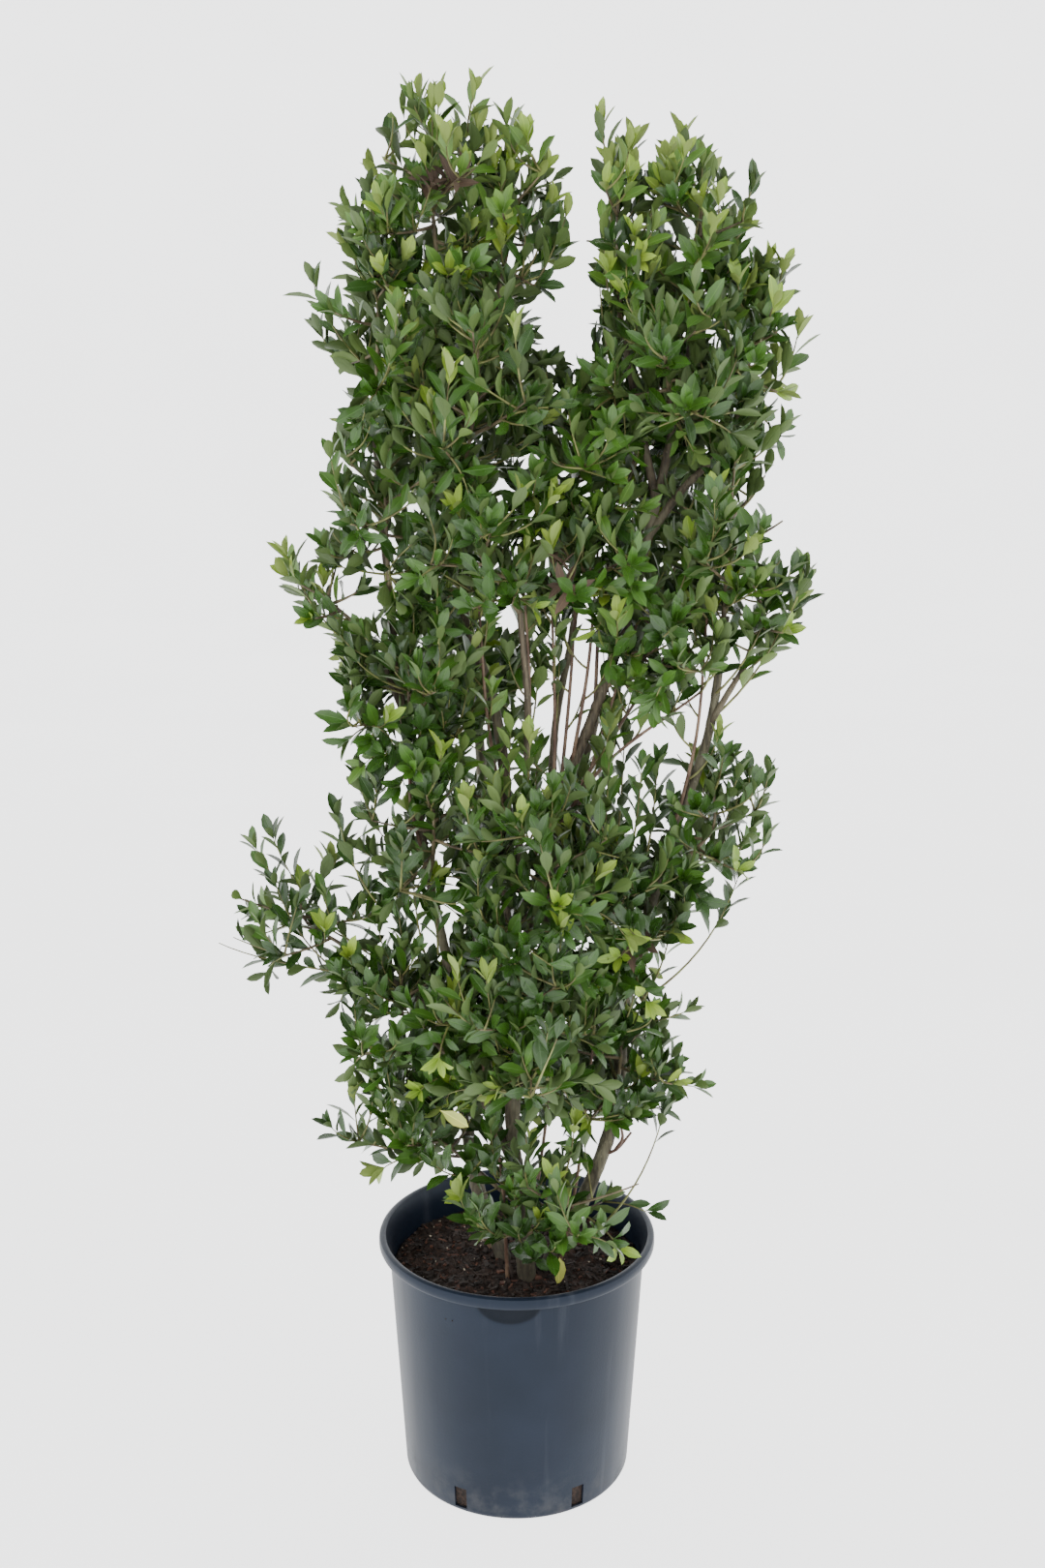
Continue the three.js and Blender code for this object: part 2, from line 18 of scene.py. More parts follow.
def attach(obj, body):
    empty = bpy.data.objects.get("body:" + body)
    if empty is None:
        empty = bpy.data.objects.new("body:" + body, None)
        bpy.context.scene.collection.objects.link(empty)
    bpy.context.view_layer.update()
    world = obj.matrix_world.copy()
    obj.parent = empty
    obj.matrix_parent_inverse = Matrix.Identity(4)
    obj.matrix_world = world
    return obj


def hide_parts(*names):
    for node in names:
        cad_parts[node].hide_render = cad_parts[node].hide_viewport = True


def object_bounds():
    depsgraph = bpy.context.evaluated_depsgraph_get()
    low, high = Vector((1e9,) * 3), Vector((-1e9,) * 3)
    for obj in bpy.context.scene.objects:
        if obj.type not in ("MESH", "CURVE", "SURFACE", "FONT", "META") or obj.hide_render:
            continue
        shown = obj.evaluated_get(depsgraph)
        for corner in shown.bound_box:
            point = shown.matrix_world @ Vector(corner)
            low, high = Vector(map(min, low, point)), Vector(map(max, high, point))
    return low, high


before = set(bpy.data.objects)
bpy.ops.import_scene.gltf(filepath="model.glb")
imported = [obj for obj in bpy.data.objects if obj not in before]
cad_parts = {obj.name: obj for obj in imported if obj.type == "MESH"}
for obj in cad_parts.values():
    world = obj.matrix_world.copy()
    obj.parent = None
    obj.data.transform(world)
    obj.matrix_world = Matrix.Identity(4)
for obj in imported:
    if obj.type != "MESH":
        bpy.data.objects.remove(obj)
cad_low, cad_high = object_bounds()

bl_info = {
    "name": "Potted shrub",
    "version": (1, 0, 0),
    "blender": (4, 5, 0),
    "location": "3D View > Sidebar > Shrub",
    "description": "Grows a potted evergreen shrub round its packed solids",
    "category": "Object",
}

MM = 0.001
TURN = 2 * math.pi
GOLDEN_ANGLE = math.radians(137.5)
UP = np.array([0.0, 0.0, 1.0])
# A direction that no limb or twig sets off along
LINE_CROSS = [0.31, 0.93, 0.17]
BOX_LOW, BOX_HIGH = np.array(cad_low) / MM, np.array(cad_high) / MM
BOX_SPARE = np.array([5, 5, 26])

# Pot
POT_HEIGHT = 290
FOOT_RADIUS = 131
FOOT_ROUND = 6
FOOT_EDGE = [[8, 0], [3.8, 0.5], [1.2, 2.4], [0.2, 4.6]]
FLOOR_RING = 60
FLOOR_THICKNESS = 4
WALL_TOP_RADIUS = 147
WALL_THICKNESS = 2.6
RIM_DEPTH = 14
WALL_TOP = POT_HEIGHT - RIM_DEPTH
RIM_UNDERSIDE = [[148.2, 0.2], [154.6, 0.3], [157.2, 1.4], [158.5, 4.2]]
RIM_TOP = [[158.5, 4.2], [157.5, 1.4], [155.4, 0.2], [152.8, 0], [150.7, 0.9], [149.6, 3.2]]
LIP_RADIUS = 149.5
SLOT_COUNT = 6
SLOT_APART = 360 / SLOT_COUNT
SLOT_FIRST_ANGLE = -118.6
SLOT_BOTTOM = 6.5
SLOT_TOP = 32
SLOT_HALF_TURN = 360 / 108
SLOT_LEAST_RADIUS = 120
SCOOP_MIDDLE = -8
SCOOP_HALF_WIDTH = 36
SCOOP_HEIGHT = 23
SCOOP_DEPTH = 1.6
SCOOP_STEEPNESS = 3
SCOOP_ROWS_HEIGHT = 26
SCOOP_ROWS = 12
INNER_HEIGHTS = [WALL_TOP, WALL_TOP - 12, WALL_TOP - 40, 150, 80, SLOT_TOP, SLOT_BOTTOM]

# Compost
SOIL_TOP = 252
SOIL_EDGE_DROP = 5
SOIL_EDGE_STEP = 1.5
SOIL_GAP = 0.3
SOIL_MIDDLE = 120
SOIL_MOUND = 5
SOIL_MOUND_RADIUS = 62
SOIL_DROP_RADIUS = 140
SOIL_RINGS = 76
SOIL_COLUMNS = 200
SOIL_LUMPS = [[26, 3.1, 0.9], [9, 7.7, 0.45], [3.6, 1.3, 0.3]]
SCRAPS_RADIUS = 139
SCRAP_TURNS = [3, 0.3, 0.3]
SCRAP_UNEVENNESS = 0.09
SOIL_SEED = 7

# Scraps on the compost: name, material, least and most size, lift, dark and pale colour
HEAPS = [
    ("chips_dark", "chip_dark", (2.5, 1.6, 0.8), (15, 6, 3), 0.35,
     (0.007, 0.0045, 0.0032), (0.024, 0.0145, 0.010)),
    ("chips_red", "chip_red", (2, 1.4, 0.8), (12, 5.5, 2.6), 0.4,
     (0.036, 0.015, 0.010), (0.085, 0.036, 0.022)),
    ("grains", "grain", (1.0, 0.9, 0.8), (2.6, 2.2, 2), 0.5,
     (0.20, 0.16, 0.11), (0.40, 0.35, 0.28)),
]

# The solids' rule of growth
ROOT_FLARE = 5
FLARE_HEIGHT = 22
LIMB_STEP = 85
PROBE_STEP = 5
STEM_BERTH = 20
MASS_STEM_RADII = [4.4, 3.3]
MASS_STEM_BEND = 0.55
MASS_STEM_TOP_ROOM = 0.8
SOLID_LEAF_LENGTH = 68
LEAF_CLEARANCE = 0.8
SOIL_CLEARANCE = 12
RIM_CLEARANCE = 6
TWIG_RADIUS = 2.2
TWIG_CHECKS = [0.35, 0.7, 1]
TWIGS_PER_MASS = 6
TWIG_TIP_ROOM = 14
SHORTEST_TWIG = 26
TWIG_REACHES = [1, 0.9, 0.8, 0.7, 0.6, 0.5, 0.4]
HIGHEST_AIM = 0.8
LOWEST_AIM = -0.7
SPRING_MIDDLE = 0.62
SPRING_SPAN = 0.34
FIRST_SEED = 101
SEED_STEP = 37

# Stems and boughs. A limb starts in the compost, or inside the limb that it forks from at the
# height given there, and passes through a few places on the way to its tip.
LIMBS = [
    {"name": "stem_main", "ground": [12, -45], "radii": [9.6, 6.5],
     "through": [[1, -41, 364], [-4, -40, 425], [1, -37, 488], [23, -33, 541]]},
    {"name": "stem_right", "ground": [34, -24], "radii": [8.8, 4.2],
     "through": [[87, -14, 362], [113, -6, 448], [121, 2, 560], [168, 4, 750], [205, 2, 865],
                 [222, 0, 1000]]},
    {"name": "stem_back", "ground": [-14, -6], "radii": [8.2, 4.2],
     "through": [[-50, 34, 345], [-62, 84, 520], [-40, 112, 760], [-52, 104, 960],
                 [-62, 84, 1110]]},
    {"name": "bough_left", "from": "stem_main", "height": 415, "radii": [8.0, 4.0],
     "through": [[-16, -28, 600], [-10, -8, 760], [-21, 0, 890], [-58, 4, 1017],
                 [-78, 4, 1180], [-76, 2, 1310]]},
    {"name": "bough_right", "from": "stem_main", "height": 470, "radii": [8.0, 4.0],
     "through": [[32, -4, 640], [45, 4, 789], [81, 6, 887], [112, 4, 980], [150, 0, 1138],
                 [182, 2, 1290]]},
    {"name": "bough_left_outer", "from": "stem_main", "height": 385, "radii": [6.4, 3.4],
     "through": [[-40, -30, 480], [-92, -12, 700], [-122, -4, 900], [-136, -2, 1051],
                 [-146, -2, 1195]]},
    {"name": "bough_middle_left", "from": "bough_left", "height": 640, "radii": [5.2, 3.2],
     "through": [[8, -34, 800], [12, -40, 912], [4, -46, 1010]]},
    {"name": "bough_middle_right", "from": "bough_right", "height": 700, "radii": [5.0, 3.2],
     "through": [[42, 32, 870], [62, 30, 990], [66, 8, 1095]]},
    {"name": "bough_right_peak", "from": "bough_right", "height": 1120, "radii": [4.4, 3.2],
     "through": [[124, 8, 1220], [106, 2, 1305]]},
    {"name": "bough_right_lobe", "from": "bough_right", "height": 1080, "radii": [4.6, 3.2],
     "through": [[170, -6, 1130], [206, -8, 1168], [226, -4, 1200]]},
    {"name": "bough_left_peak", "from": "bough_left", "height": 1120, "radii": [4.4, 3.0],
     "through": [[-48, 18, 1225], [-24, 20, 1300]]},
    {"name": "bough_back_right", "from": "stem_back", "height": 420, "radii": [6.4, 3.6],
     "through": [[-8, 84, 560], [62, 112, 760], [112, 112, 960], [146, 92, 1130]]},
    {"name": "bough_low_left", "from": "bough_left_outer", "height": 520, "radii": [4.6, 3.0],
     "through": [[-100, -22, 570], [-146, -12, 604]]},
    {"name": "bough_arm_left", "from": "bough_left_outer", "height": 900, "radii": [4.0, 2.8],
     "through": [[-142, -6, 950], [-162, -4, 985]]},
    {"name": "bough_arm_right", "from": "stem_right", "height": 880, "radii": [3.8, 2.8],
     "through": [[226, -8, 920], [243, -6, 948]]},
]

# Masses of foliage. Each has its name, the limb and the height at which its stem springs, the
# middle of the space that it keeps to, and how far that space reaches along X, Y and Z.
MASSES = [
    ["left_top", "bough_left", 1320, [-84, 0, 1418], [69, 83, 112]],
    ["left_peak", "bough_left_peak", 1310, [-6, 18, 1388], [58, 78, 100]],
    ["left_upper", "bough_left_outer", 1200, [-140, -6, 1292], [64, 83, 108]],
    ["left_heart", "bough_left", 1070, [-38, -61, 1236], [74, 85, 92]],
    ["left_back", "stem_back", 1115, [-72, 107, 1236], [86, 83, 112]],
    ["left_middle", "bough_left_outer", 1020, [-136, -18, 1112], [68, 87, 94]],
    ["left_inner", "bough_middle_left", 1015, [-36, -68, 1072], [66, 78, 86]],
    ["right_peak", "bough_right_peak", 1310, [102, -6, 1388], [46, 67, 100]],
    ["right_top", "bough_right", 1295, [186, 6, 1385], [56, 74, 98]],
    ["right_lobe", "bough_right_lobe", 1205, [240, 0, 1278], [49, 69, 92]],
    ["right_heart", "bough_right", 1190, [150, -59, 1255], [70, 81, 86]],
    ["right_back", "bough_back_right", 1135, [162, 107, 1232], [82, 78, 108]],
    ["right_middle", "stem_right", 960, [222, -15, 1118], [74, 87, 82]],
    ["centre_upper", "bough_middle_right", 1100, [60, 2, 1166], [68, 96, 86]],
    ["centre", "bough_middle_right", 1010, [76, -49, 1050], [62, 74, 62]],
    ["right_inner", "bough_right", 920, [150, -24, 975], [62, 85, 82]],
    ["right_arm", "bough_arm_right", 950, [262, 0, 1012], [52, 60, 76]],
    ["left_arm", "bough_arm_left", 990, [-204, 0, 1022], [52, 52, 62]],
    ["left_waist", "bough_left_outer", 840, [-118, -15, 922], [82, 99, 90]],
    ["back_waist", "stem_back", 860, [-56, 122, 942], [82, 83, 104]],
    ["back_right", "bough_back_right", 940, [176, 112, 1036], [74, 74, 92]],
    ["left_low", "bough_left_outer", 700, [-88, -41, 774], [80, 96, 92]],
    ["front", "bough_left", 620, [34, -95, 742], [80, 85, 106]],
    ["back", "bough_back_right", 650, [22, 132, 716], [104, 83, 112]],
    ["right_low", "stem_right", 610, [112, -17, 688], [74, 99, 90]],
    ["right_side", "stem_right", 690, [214, 0, 768], [66, 87, 96]],
    ["arm_low_left", "bough_low_left", 610, [-236, 0, 666], [100, 67, 84]],
    ["lower_left", "bough_left_outer", 480, [-108, -27, 566], [90, 99, 98]],
    ["foot_left", "stem_main", 340, [-108, -12, 428], [90, 94, 78]],
    ["lower_front", "stem_main", 541, [12, -112, 580], [84, 83, 104]],
    ["lower_right", "stem_right", 430, [116, -17, 508], [86, 99, 96]],
    ["foot", "stem_main", 300, [56, -93, 368], [100, 72, 64]],
    ["lower_back", "stem_back", 400, [6, 120, 482], [112, 85, 112]],
]
MASS_NODES = ["foliage_" + row[0] for row in MASSES]

# Thin stems that show between the masses: where each starts, bends and ends
LOW_THIN_STEMS = [
    [[-10, -50, 246], [-18, -60, 400], [-54, -56, 610]],
    [[46, -30, 246], [68, -40, 375], [84, -40, 530]],
    [[10, -2, 246], [36, 30, 430], [52, 40, 640]],
    [[-26, 16, 246], [-72, 18, 350], [-104, -6, 530]],
    [[96, -12, 388], [112, -18, 397], [129, -20, 419]],
    [[112, -18, 397], [119, -24, 414], [116, -26, 432]],
]
HIGH_THIN_STEMS = [
    [[36, 0, 690], [78, 10, 823], [128, 8, 990]],
    [[32, -4, 650], [41, -10, 868], [36, -20, 1050]],
    [[46, 4, 790], [58, 4, 930], [66, 4, 1080]],
    [[60, 2, 840], [76, -7, 945], [86, -8, 1080]],
    [[12, -24, 800], [14, -22, 930], [6, -24, 1060]],
    [[-10, -8, 770], [-30, -22, 890], [-40, -30, 1040]],
    [[168, 4, 750], [192, -12, 870], [200, -16, 1000]],
    [[-96, -12, 720], [-114, -26, 820], [-84, -34, 980]],
    [[84, 6, 895], [92, 24, 1020], [128, 24, 1180]],
    [[46, 4, 770], [98, -2, 842], [194, -14, 920]],
    [[48, 4, 782], [104, 12, 868], [172, 26, 970]],
]
THIN_STEM_RADII = [2.3, 1.3]
THIN_STEM_SPOTS = 24
SPRAYS_PER_THIN_STEM = 6
SPRAYS_START = 0.3

# Long shoots that stand out of the crown or close a gap in it: where each starts and ends
LONG_SHOOTS = [
    [[96, -66, 330], [160, -60, 455]], [[150, -20, 585], [240, -18, 715]],
    [[26, -60, 545], [46, -160, 700]], [[-4, -70, 500], [-30, -158, 650]],
    [[-150, -10, 600], [-328, -10, 640]], [[-150, 0, 615], [-265, 0, 755]],
    [[-165, 10, 625], [-285, 10, 740]], [[-145, -30, 685], [-190, -30, 785]],
    [[-190, -20, 605], [-260, -25, 710]], [[208, 0, 888], [302, 0, 1048]],
    [[232, 10, 930], [300, 15, 1010]], [[212, -15, 920], [268, -25, 1030]],
    [[-140, 0, 940], [-240, 0, 1062]], [[-190, 15, 990], [-234, 25, 1030]],
    [[92, -30, 740], [98, -36, 850]], [[120, -40, 740], [132, -44, 842]],
    [[110, 20, 740], [118, 30, 862]], [[140, -20, 740], [150, -24, 838]],
    [[-10, -50, 780], [-6, -60, 884]], [[8, -60, 790], [14, -70, 876]],
    [[-100, -40, 640], [-110, -50, 722]], [[-120, -20, 625], [-130, -24, 702]],
    [[-84, -50, 640], [-86, -60, 718]], [[140, 0, 570], [170, 0, 650]],
    [[20, -90, 396], [10, -104, 456]], [[50, -90, 396], [62, -104, 462]],
    [[-20, -70, 390], [-28, -84, 452]], [[-84, -10, 1430], [-82, -14, 1500]],
    [[-62, 0, 1430], [-38, -8, 1480]], [[-20, 10, 1400], [-5, 4, 1455]],
    [[96, -6, 1390], [94, -12, 1448]], [[128, -6, 1390], [148, -10, 1450]],
    [[180, 0, 1380], [186, 0, 1450]], [[108, -4, 1400], [116, -10, 1444]],
    [[100, -20, 1290], [86, -30, 1392]], [[100, 0, 1250], [84, -10, 1340]],
    [[10, -58, 306], [2, -118, 346]], [[30, -60, 300], [42, -124, 334]],
    [[-8, -56, 312], [-44, -106, 352]], [[60, -60, 312], [88, -108, 344]],
    [[20, -60, 290], [18, -104, 308]], [[-86, -14, 1400], [-76, -18, 1508]],
]

# Places open to the sky, from X to X and from Z to Z, that the crown doesn't close
OPEN_PLACES = [
    [52, 82, 1258, 1600], [48, 94, 896, 976], [158, 200, 846, 878], [180, 280, 608, 660],
    [254, 340, 1066, 1160], [-300, -188, 1088, 1180], [-300, -192, 880, 992],
    [-300, -112, 1496, 1700], [-300, -136, 1462, 1700], [4, 82, 1492, 1700], [36, 82, 1450, 1700],
    [208, 340, 1445, 1700], [238, 340, 1402, 1700], [104, 180, 386, 424],
    [84, 152, 360, 440],
]

# The fine growth. Radii run from the foot of a shoot to its tip, and a bare share is the part of
# its length, from the foot, that has no leaves.
STEM_RADII = [3.1, 1.3]
TWIG_RADII = [2.0, 0.9]
SHOOT_RADII = [1.45, 0.6]
LONG_SHOOT_RADII = [1.5, 0.6]
STEM_BARE, TWIG_BARE, SHOOT_BARE, LONG_SHOOT_BARE = 0.2, 0.3, 0.26, 0.25
STEM_SPOTS = 12
STEM_FOOT_SPOTS, STEM_BARE_SPOTS = 2, 5
TWIG_SAG = 0.06
TWIG_SPOTS = 8
SHOOT_SPOTS = 10
SHOOT_BEND = [0.72, 0.72, 0.36]
SHOOT_SWAY = 0.035
SHORTEST_SHOOT = 34
LONGEST_SHOOT = 170
WANTED_RISE = 0.5
LOW_RISE_COST = 1.6
LONG_SHOOT_SEED = 5
NEAR_TIP = -4
SPRAY_REACH = [16, 22]
SPRAY_RISE = [34, 34]
SPRAY_BEND = 0.7
SPRAY_BEND_RISE = 12
BRIDGE_REACH = 1.65
NEAREST_TARGET_SHARE = 0.05
FURTHEST_TARGET = 1.25
EDGE_REACH = 0.84
EDGE_SHOOTS = 9
EDGE_AIM_SPAN = 1.25
EDGE_AIM_LOWEST = -0.25
EDGE_TIP_REACH = [0.98, 0.14]
EDGE_CLEARANCE = 1.05
CLUMP_SIZE = 62
CLUMP_EDGE = -0.07
SPARSE_MASSES = {"left_arm": 0.15, "right_arm": 0.35, "arm_low_left": 0.3, "right_side": 0.8,
                 "foot_left": 0.75, "lower_front": 0.75, "lower_right": 0.8, "foot": 0.9}

# Leaves. Angles are in degrees and sizes are shares of the leaf length in the settings. The
# cross is a direction that no shoot runs along.
LEAF_CROSS = [0.31, 0.17, 0.93]
TIP_LEAVES = 3
TIP_LENGTH = 22
TIP_PROBE = 3
LEAN = 45
TIP_LEAN = 22
LEAN_SPREAD = 8
LEAF_RISE = 0.4
FACE_UP, FACE_OUT, FACE_SPREAD = 0.25, 0.45, 0.26
FACE_OUT_SHARES = [1, 1, 0.2]
LEAF_SIZE = [0.74, 0.4]
TIP_SHRINK = 0.2
LEAF_WIDTH_SPREAD = [0.9, 0.2]
LEAF_CURL = [0.10, 0.16]
LEAF_SPACING_SPREAD = [0.8, 0.4]
LEAF_MIDDLE = 0.55
LEAF_BERTH = 4
FURTHEST_LEAF = 9
LEAF_SECTIONS = [(0.14, 0.20), (0.36, 0.78), (0.61, 1.0), (0.84, 0.70)]
LEAF_FOLD = 0.30
LEAF_THICKNESS = 0.45
THICK_FROM, THICK_TO = 0.05, 0.97
MOST_TRIANGLES = 190000

# How fresh the sprays of a mass are, from 0 to 1, where it isn't the usual share. Low sprays are
# darker, and those above the fresh height are the freshest.
USUAL_FRESHNESS = 0.22
LONG_SHOOT_FRESHNESS = 0.3
TOP_FRESHNESS = 1.5
FRESH_HEIGHT = 1435
SHADE_HEIGHT = 760
SHADE = 0.11
FRESH_SHARE, MID_LIMIT, DEEP_LIMIT = 0.4, 0.42, 0.76
YOUNG_SHARE = 0.55
YOUNG_EDGE = 0.55
FRESHNESS = {
    "left_top": 0.75, "left_peak": 0.7, "right_peak": 0.75, "right_top": 0.7, "left_upper": 0.4,
    "right_lobe": 0.45, "front": 0.32, "lower_right": 0.25, "left_arm": 0.4, "right_arm": 0.45,
    "arm_low_left": 0.4, "lower_front": 0.28,
}
WITHERED_PLACES = [[-67, -40, 1420], [37, -95, 1044], [120, -64, 667]]
WITHERED_REACH = 25
WITHERED_SIZE = 0.72
WITHERED_CURL = 0.5

# Colours of the upper side, its patches and the underside of each tint, and its roughness
LEAF_LOOKS = {
    "dark": ((0.012, 0.037, 0.004), (0.019, 0.054, 0.006), (0.045, 0.075, 0.019), 0.24),
    "deep": ((0.018, 0.055, 0.004), (0.027, 0.077, 0.006), (0.054, 0.090, 0.022), 0.25),
    "mid": ((0.027, 0.077, 0.006), (0.042, 0.105, 0.010), (0.064, 0.106, 0.024), 0.27),
    "fresh": ((0.048, 0.114, 0.012), (0.075, 0.154, 0.017), (0.086, 0.140, 0.028), 0.35),
    "young": ((0.125, 0.217, 0.019), (0.191, 0.275, 0.030), (0.145, 0.203, 0.040), 0.38),
    "withered": ((0.034, 0.020, 0.011), (0.060, 0.036, 0.019), (0.070, 0.046, 0.026), 0.75),
}
YELLOW_LOOK = ((0.30, 0.36, 0.075), (0.46, 0.46, 0.11), (0.42, 0.44, 0.16), 0.42)

# Faces round the twigs of each kind, and their dark and pale colour
TWIG_LOOKS = {
    "twigs": (6, (0.060, 0.045, 0.026), (0.145, 0.118, 0.062)),
    "shoots": (4, (0.085, 0.075, 0.028), (0.170, 0.185, 0.055)),
    "thin_stems": (8, (0.062, 0.032, 0.020), (0.150, 0.098, 0.062)),
}

# Single leaves: name, slot, replaced node, root, direction and face
LOOSE_LEAVES = [
    ("leaf_fallen", "compost", "soil", [46, -66, 252], [0.12, -0.05, 1], [0.5, -0.8, 0.1]),
    ("leaf_yellow", "foliage", "foliage_foot_left", [-82, -104, 484], [0.8, -0.4, -0.3],
     [0.1, -0.8, 0.5]),
]
LOOSE_LEAF_SIZE = [36, 15, 0.12]

# Bark: relief round and along a limb, and the old buds on it
RIDGES_ROUND, RIDGE_LENGTH = 2.6, 34
GRAIN_ROUND, GRAIN_LENGTH, GRAIN_SHARE = 6.5, 9, 0.6
BUD_SPACING, BUD_SHIFT, BUD_WIDTH, BUD_HEIGHT = 31, 13, 2.6, 0.5
FLARE_CUT = 0.75
BURIED = 10
BOUGH_SIDES_SHARE = 0.7
BARK_SEEDS = [1.7, 3.3]
BARK_LOOKS = {
    "stem": ((0.030, 0.025, 0.015), (0.092, 0.082, 0.050), (0.165, 0.160, 0.105)),
    "bough": ((0.030, 0.023, 0.014), (0.085, 0.068, 0.043), (0.150, 0.138, 0.088)),
}

# Stage. The bowl is in millimetres, and the lights and the camera are in metres and degrees.
STAGE_RADIUS = 9000
STAGE_FLAT = [0, 0.1, 0.4]
STAGE_BEND = 0.3
STAGE_BEND_ROWS = 24
STAGE_COLUMNS = 96
STAGE_COLOUR = (0.86, 0.865, 0.87)
ROOM_COLOUR = (0.97, 0.985, 1.0, 1)
LIGHTS = [
    ("key", (-1.9, -2.2, 3.0), 2.4, 1),
    ("fill", (2.3, -1.9, 2.0), 2.2, 0.4),
    ("top", (0.1, 0.2, 3.4), 2.6, 0.5),
]
LIGHTS_AIM = (0, 0, 0.75)
CAMERA_PLACE = (0.0066, -1.833, 1.261)
CAMERA_TILT = 76.4
LENS = 40
SENSOR_WIDTH = 36
CLIP_START = 0.05


def spot(values):
    return np.array(values, float)


def unit(values):
    values = np.asarray(values, float)
    return values / np.maximum(np.linalg.norm(values, axis=-1, keepdims=True), 1e-9)


def lengths_along(spots):
    """How far along a line each of its spots is."""
    steps = np.linalg.norm(np.diff(spots, axis=0), axis=1)
    return np.concatenate([[0], np.cumsum(steps)])


def read_along(reach, lengths, spots):
    """The spots at given lengths along a line."""
    return np.stack([np.interp(reach, lengths, spots[:, k]) for k in range(3)], -1)


def spread(least_and_span, chance):
    """A random number from the least, over the span."""
    least, span = least_and_span
    return least + span * chance.random()


def golden_aim(height, turns, seed):
    """A direction of the given height, each turn a golden angle past the one before."""
    ring, angle = math.sqrt(1 - height * height), turns * GOLDEN_ANGLE + seed
    return spot([ring * math.cos(angle), ring * math.sin(angle), height])


def arc(start, bend, end, count):
    t = np.linspace(0, 1, count)[:, None]
    return (1 - t) ** 2 * start + 2 * t * (1 - t) * bend + t ** 2 * end


def rising(start, end):
    """A shoot that sets off sideways and turns up towards its tip."""
    return arc(start, start + SHOOT_BEND * (end - start), end, SHOOT_SPOTS)


def is_open(place):
    """Whether a place is where the crown stays open to the sky."""
    return any(left < place[0] < right and low < place[2] < high
               for left, right, low, high in OPEN_PLACES)


def steered(place, limb_spots, limb_radii):
    """A spot on the stem of a mass, moved sideways until it is well clear of every limb."""
    for near, radius in zip(limb_spots, limb_radii):
        away = place - near
        distance = math.sqrt(away @ away)
        if distance > radius + STEM_BERTH:
            continue
        away[2] = 0
        place = place + unit(away) * (radius + STEM_BERTH - distance)
    return place


class Curve:
    """A smooth curve through points, read by share of its length."""

    DIVISIONS = 200

    def __init__(self, points, radii, ground=False):
        self.points, self.radii, self.ground = spot(points), radii, ground
        shares = np.linspace(0, 1, self.DIVISIONS + 1)
        self.spots = np.array([self._point(share) for share in shares])
        self.lengths = lengths_along(self.spots)
        self.length = self.lengths[-1]
        steps = round(self.length / LIMB_STEP) + 1
        self.corners = self.at(np.linspace(0, 1, steps + 1))

    def _point(self, share):
        """A spot on the centripetal spline through the points."""
        points = self.points
        place = share * (len(points) - 1)
        first = min(int(place), len(points) - 2)
        before = points[first - 1] if first > 0 else 2 * points[0] - points[1]
        after = points[first + 2] if first + 2 < len(points) else 2 * points[-1] - points[-2]
        four = [before, points[first], points[first + 1], after]
        gaps = [np.linalg.norm(b - a) ** 0.5 for a, b in zip(four, four[1:])]
        start = (four[1] - four[0]) / gaps[0] - (four[2] - four[0]) / (gaps[0] + gaps[1])
        start = (start + (four[2] - four[1]) / gaps[1]) * gaps[1]
        end = (four[2] - four[1]) / gaps[1] - (four[3] - four[1]) / (gaps[1] + gaps[2])
        end = (end + (four[3] - four[2]) / gaps[2]) * gaps[1]
        t = place - first
        cubic = 2 * four[1] - 2 * four[2] + start + end
        square = -3 * four[1] + 3 * four[2] - 2 * start - end
        return four[1] + start * t + square * t * t + cubic * t * t * t

    def at(self, share):
        return read_along(np.asarray(share, float) * self.length, self.lengths, self.spots)

    def spine(self, share):
        """A spot on the middle line of the solid, which runs in straight lengths."""
        ranks = np.arange(len(self.corners))
        return read_along(np.asarray(share, float) * ranks[-1], ranks, self.corners)

    def radius(self, share):
        share = np.asarray(share, float)
        plain = self.radii[0] + (self.radii[1] - self.radii[0]) * share
        if not self.ground:
            return plain
        return plain + ROOT_FLARE * np.exp(-share * self.length / FLARE_HEIGHT)

    def share_at_height(self, height):
        shares = np.linspace(0, 1, self.DIVISIONS + 1)
        above = np.nonzero(self.spine(shares)[:, 2] >= height)[0]
        return shares[above[0]] if len(above) else 1.0

    def probes(self):
        """Spots along the limb and its radius there, used to keep growth off it."""
        count = math.ceil(self.length / PROBE_STEP)
        shares = np.arange(count + 1) / count
        return self.spine(shares), self.radius(shares)


def limb_curves():
    limbs = {}
    for limb in LIMBS:
        if "ground" in limb:
            start = [*limb["ground"], SOIL_TOP + SOIL_GAP]
        else:
            parent = limbs[limb["from"]]
            start = parent.spine(parent.share_at_height(limb["height"]))
        limbs[limb["name"]] = Curve([start, *limb["through"]], limb["radii"], "ground" in limb)
    return limbs


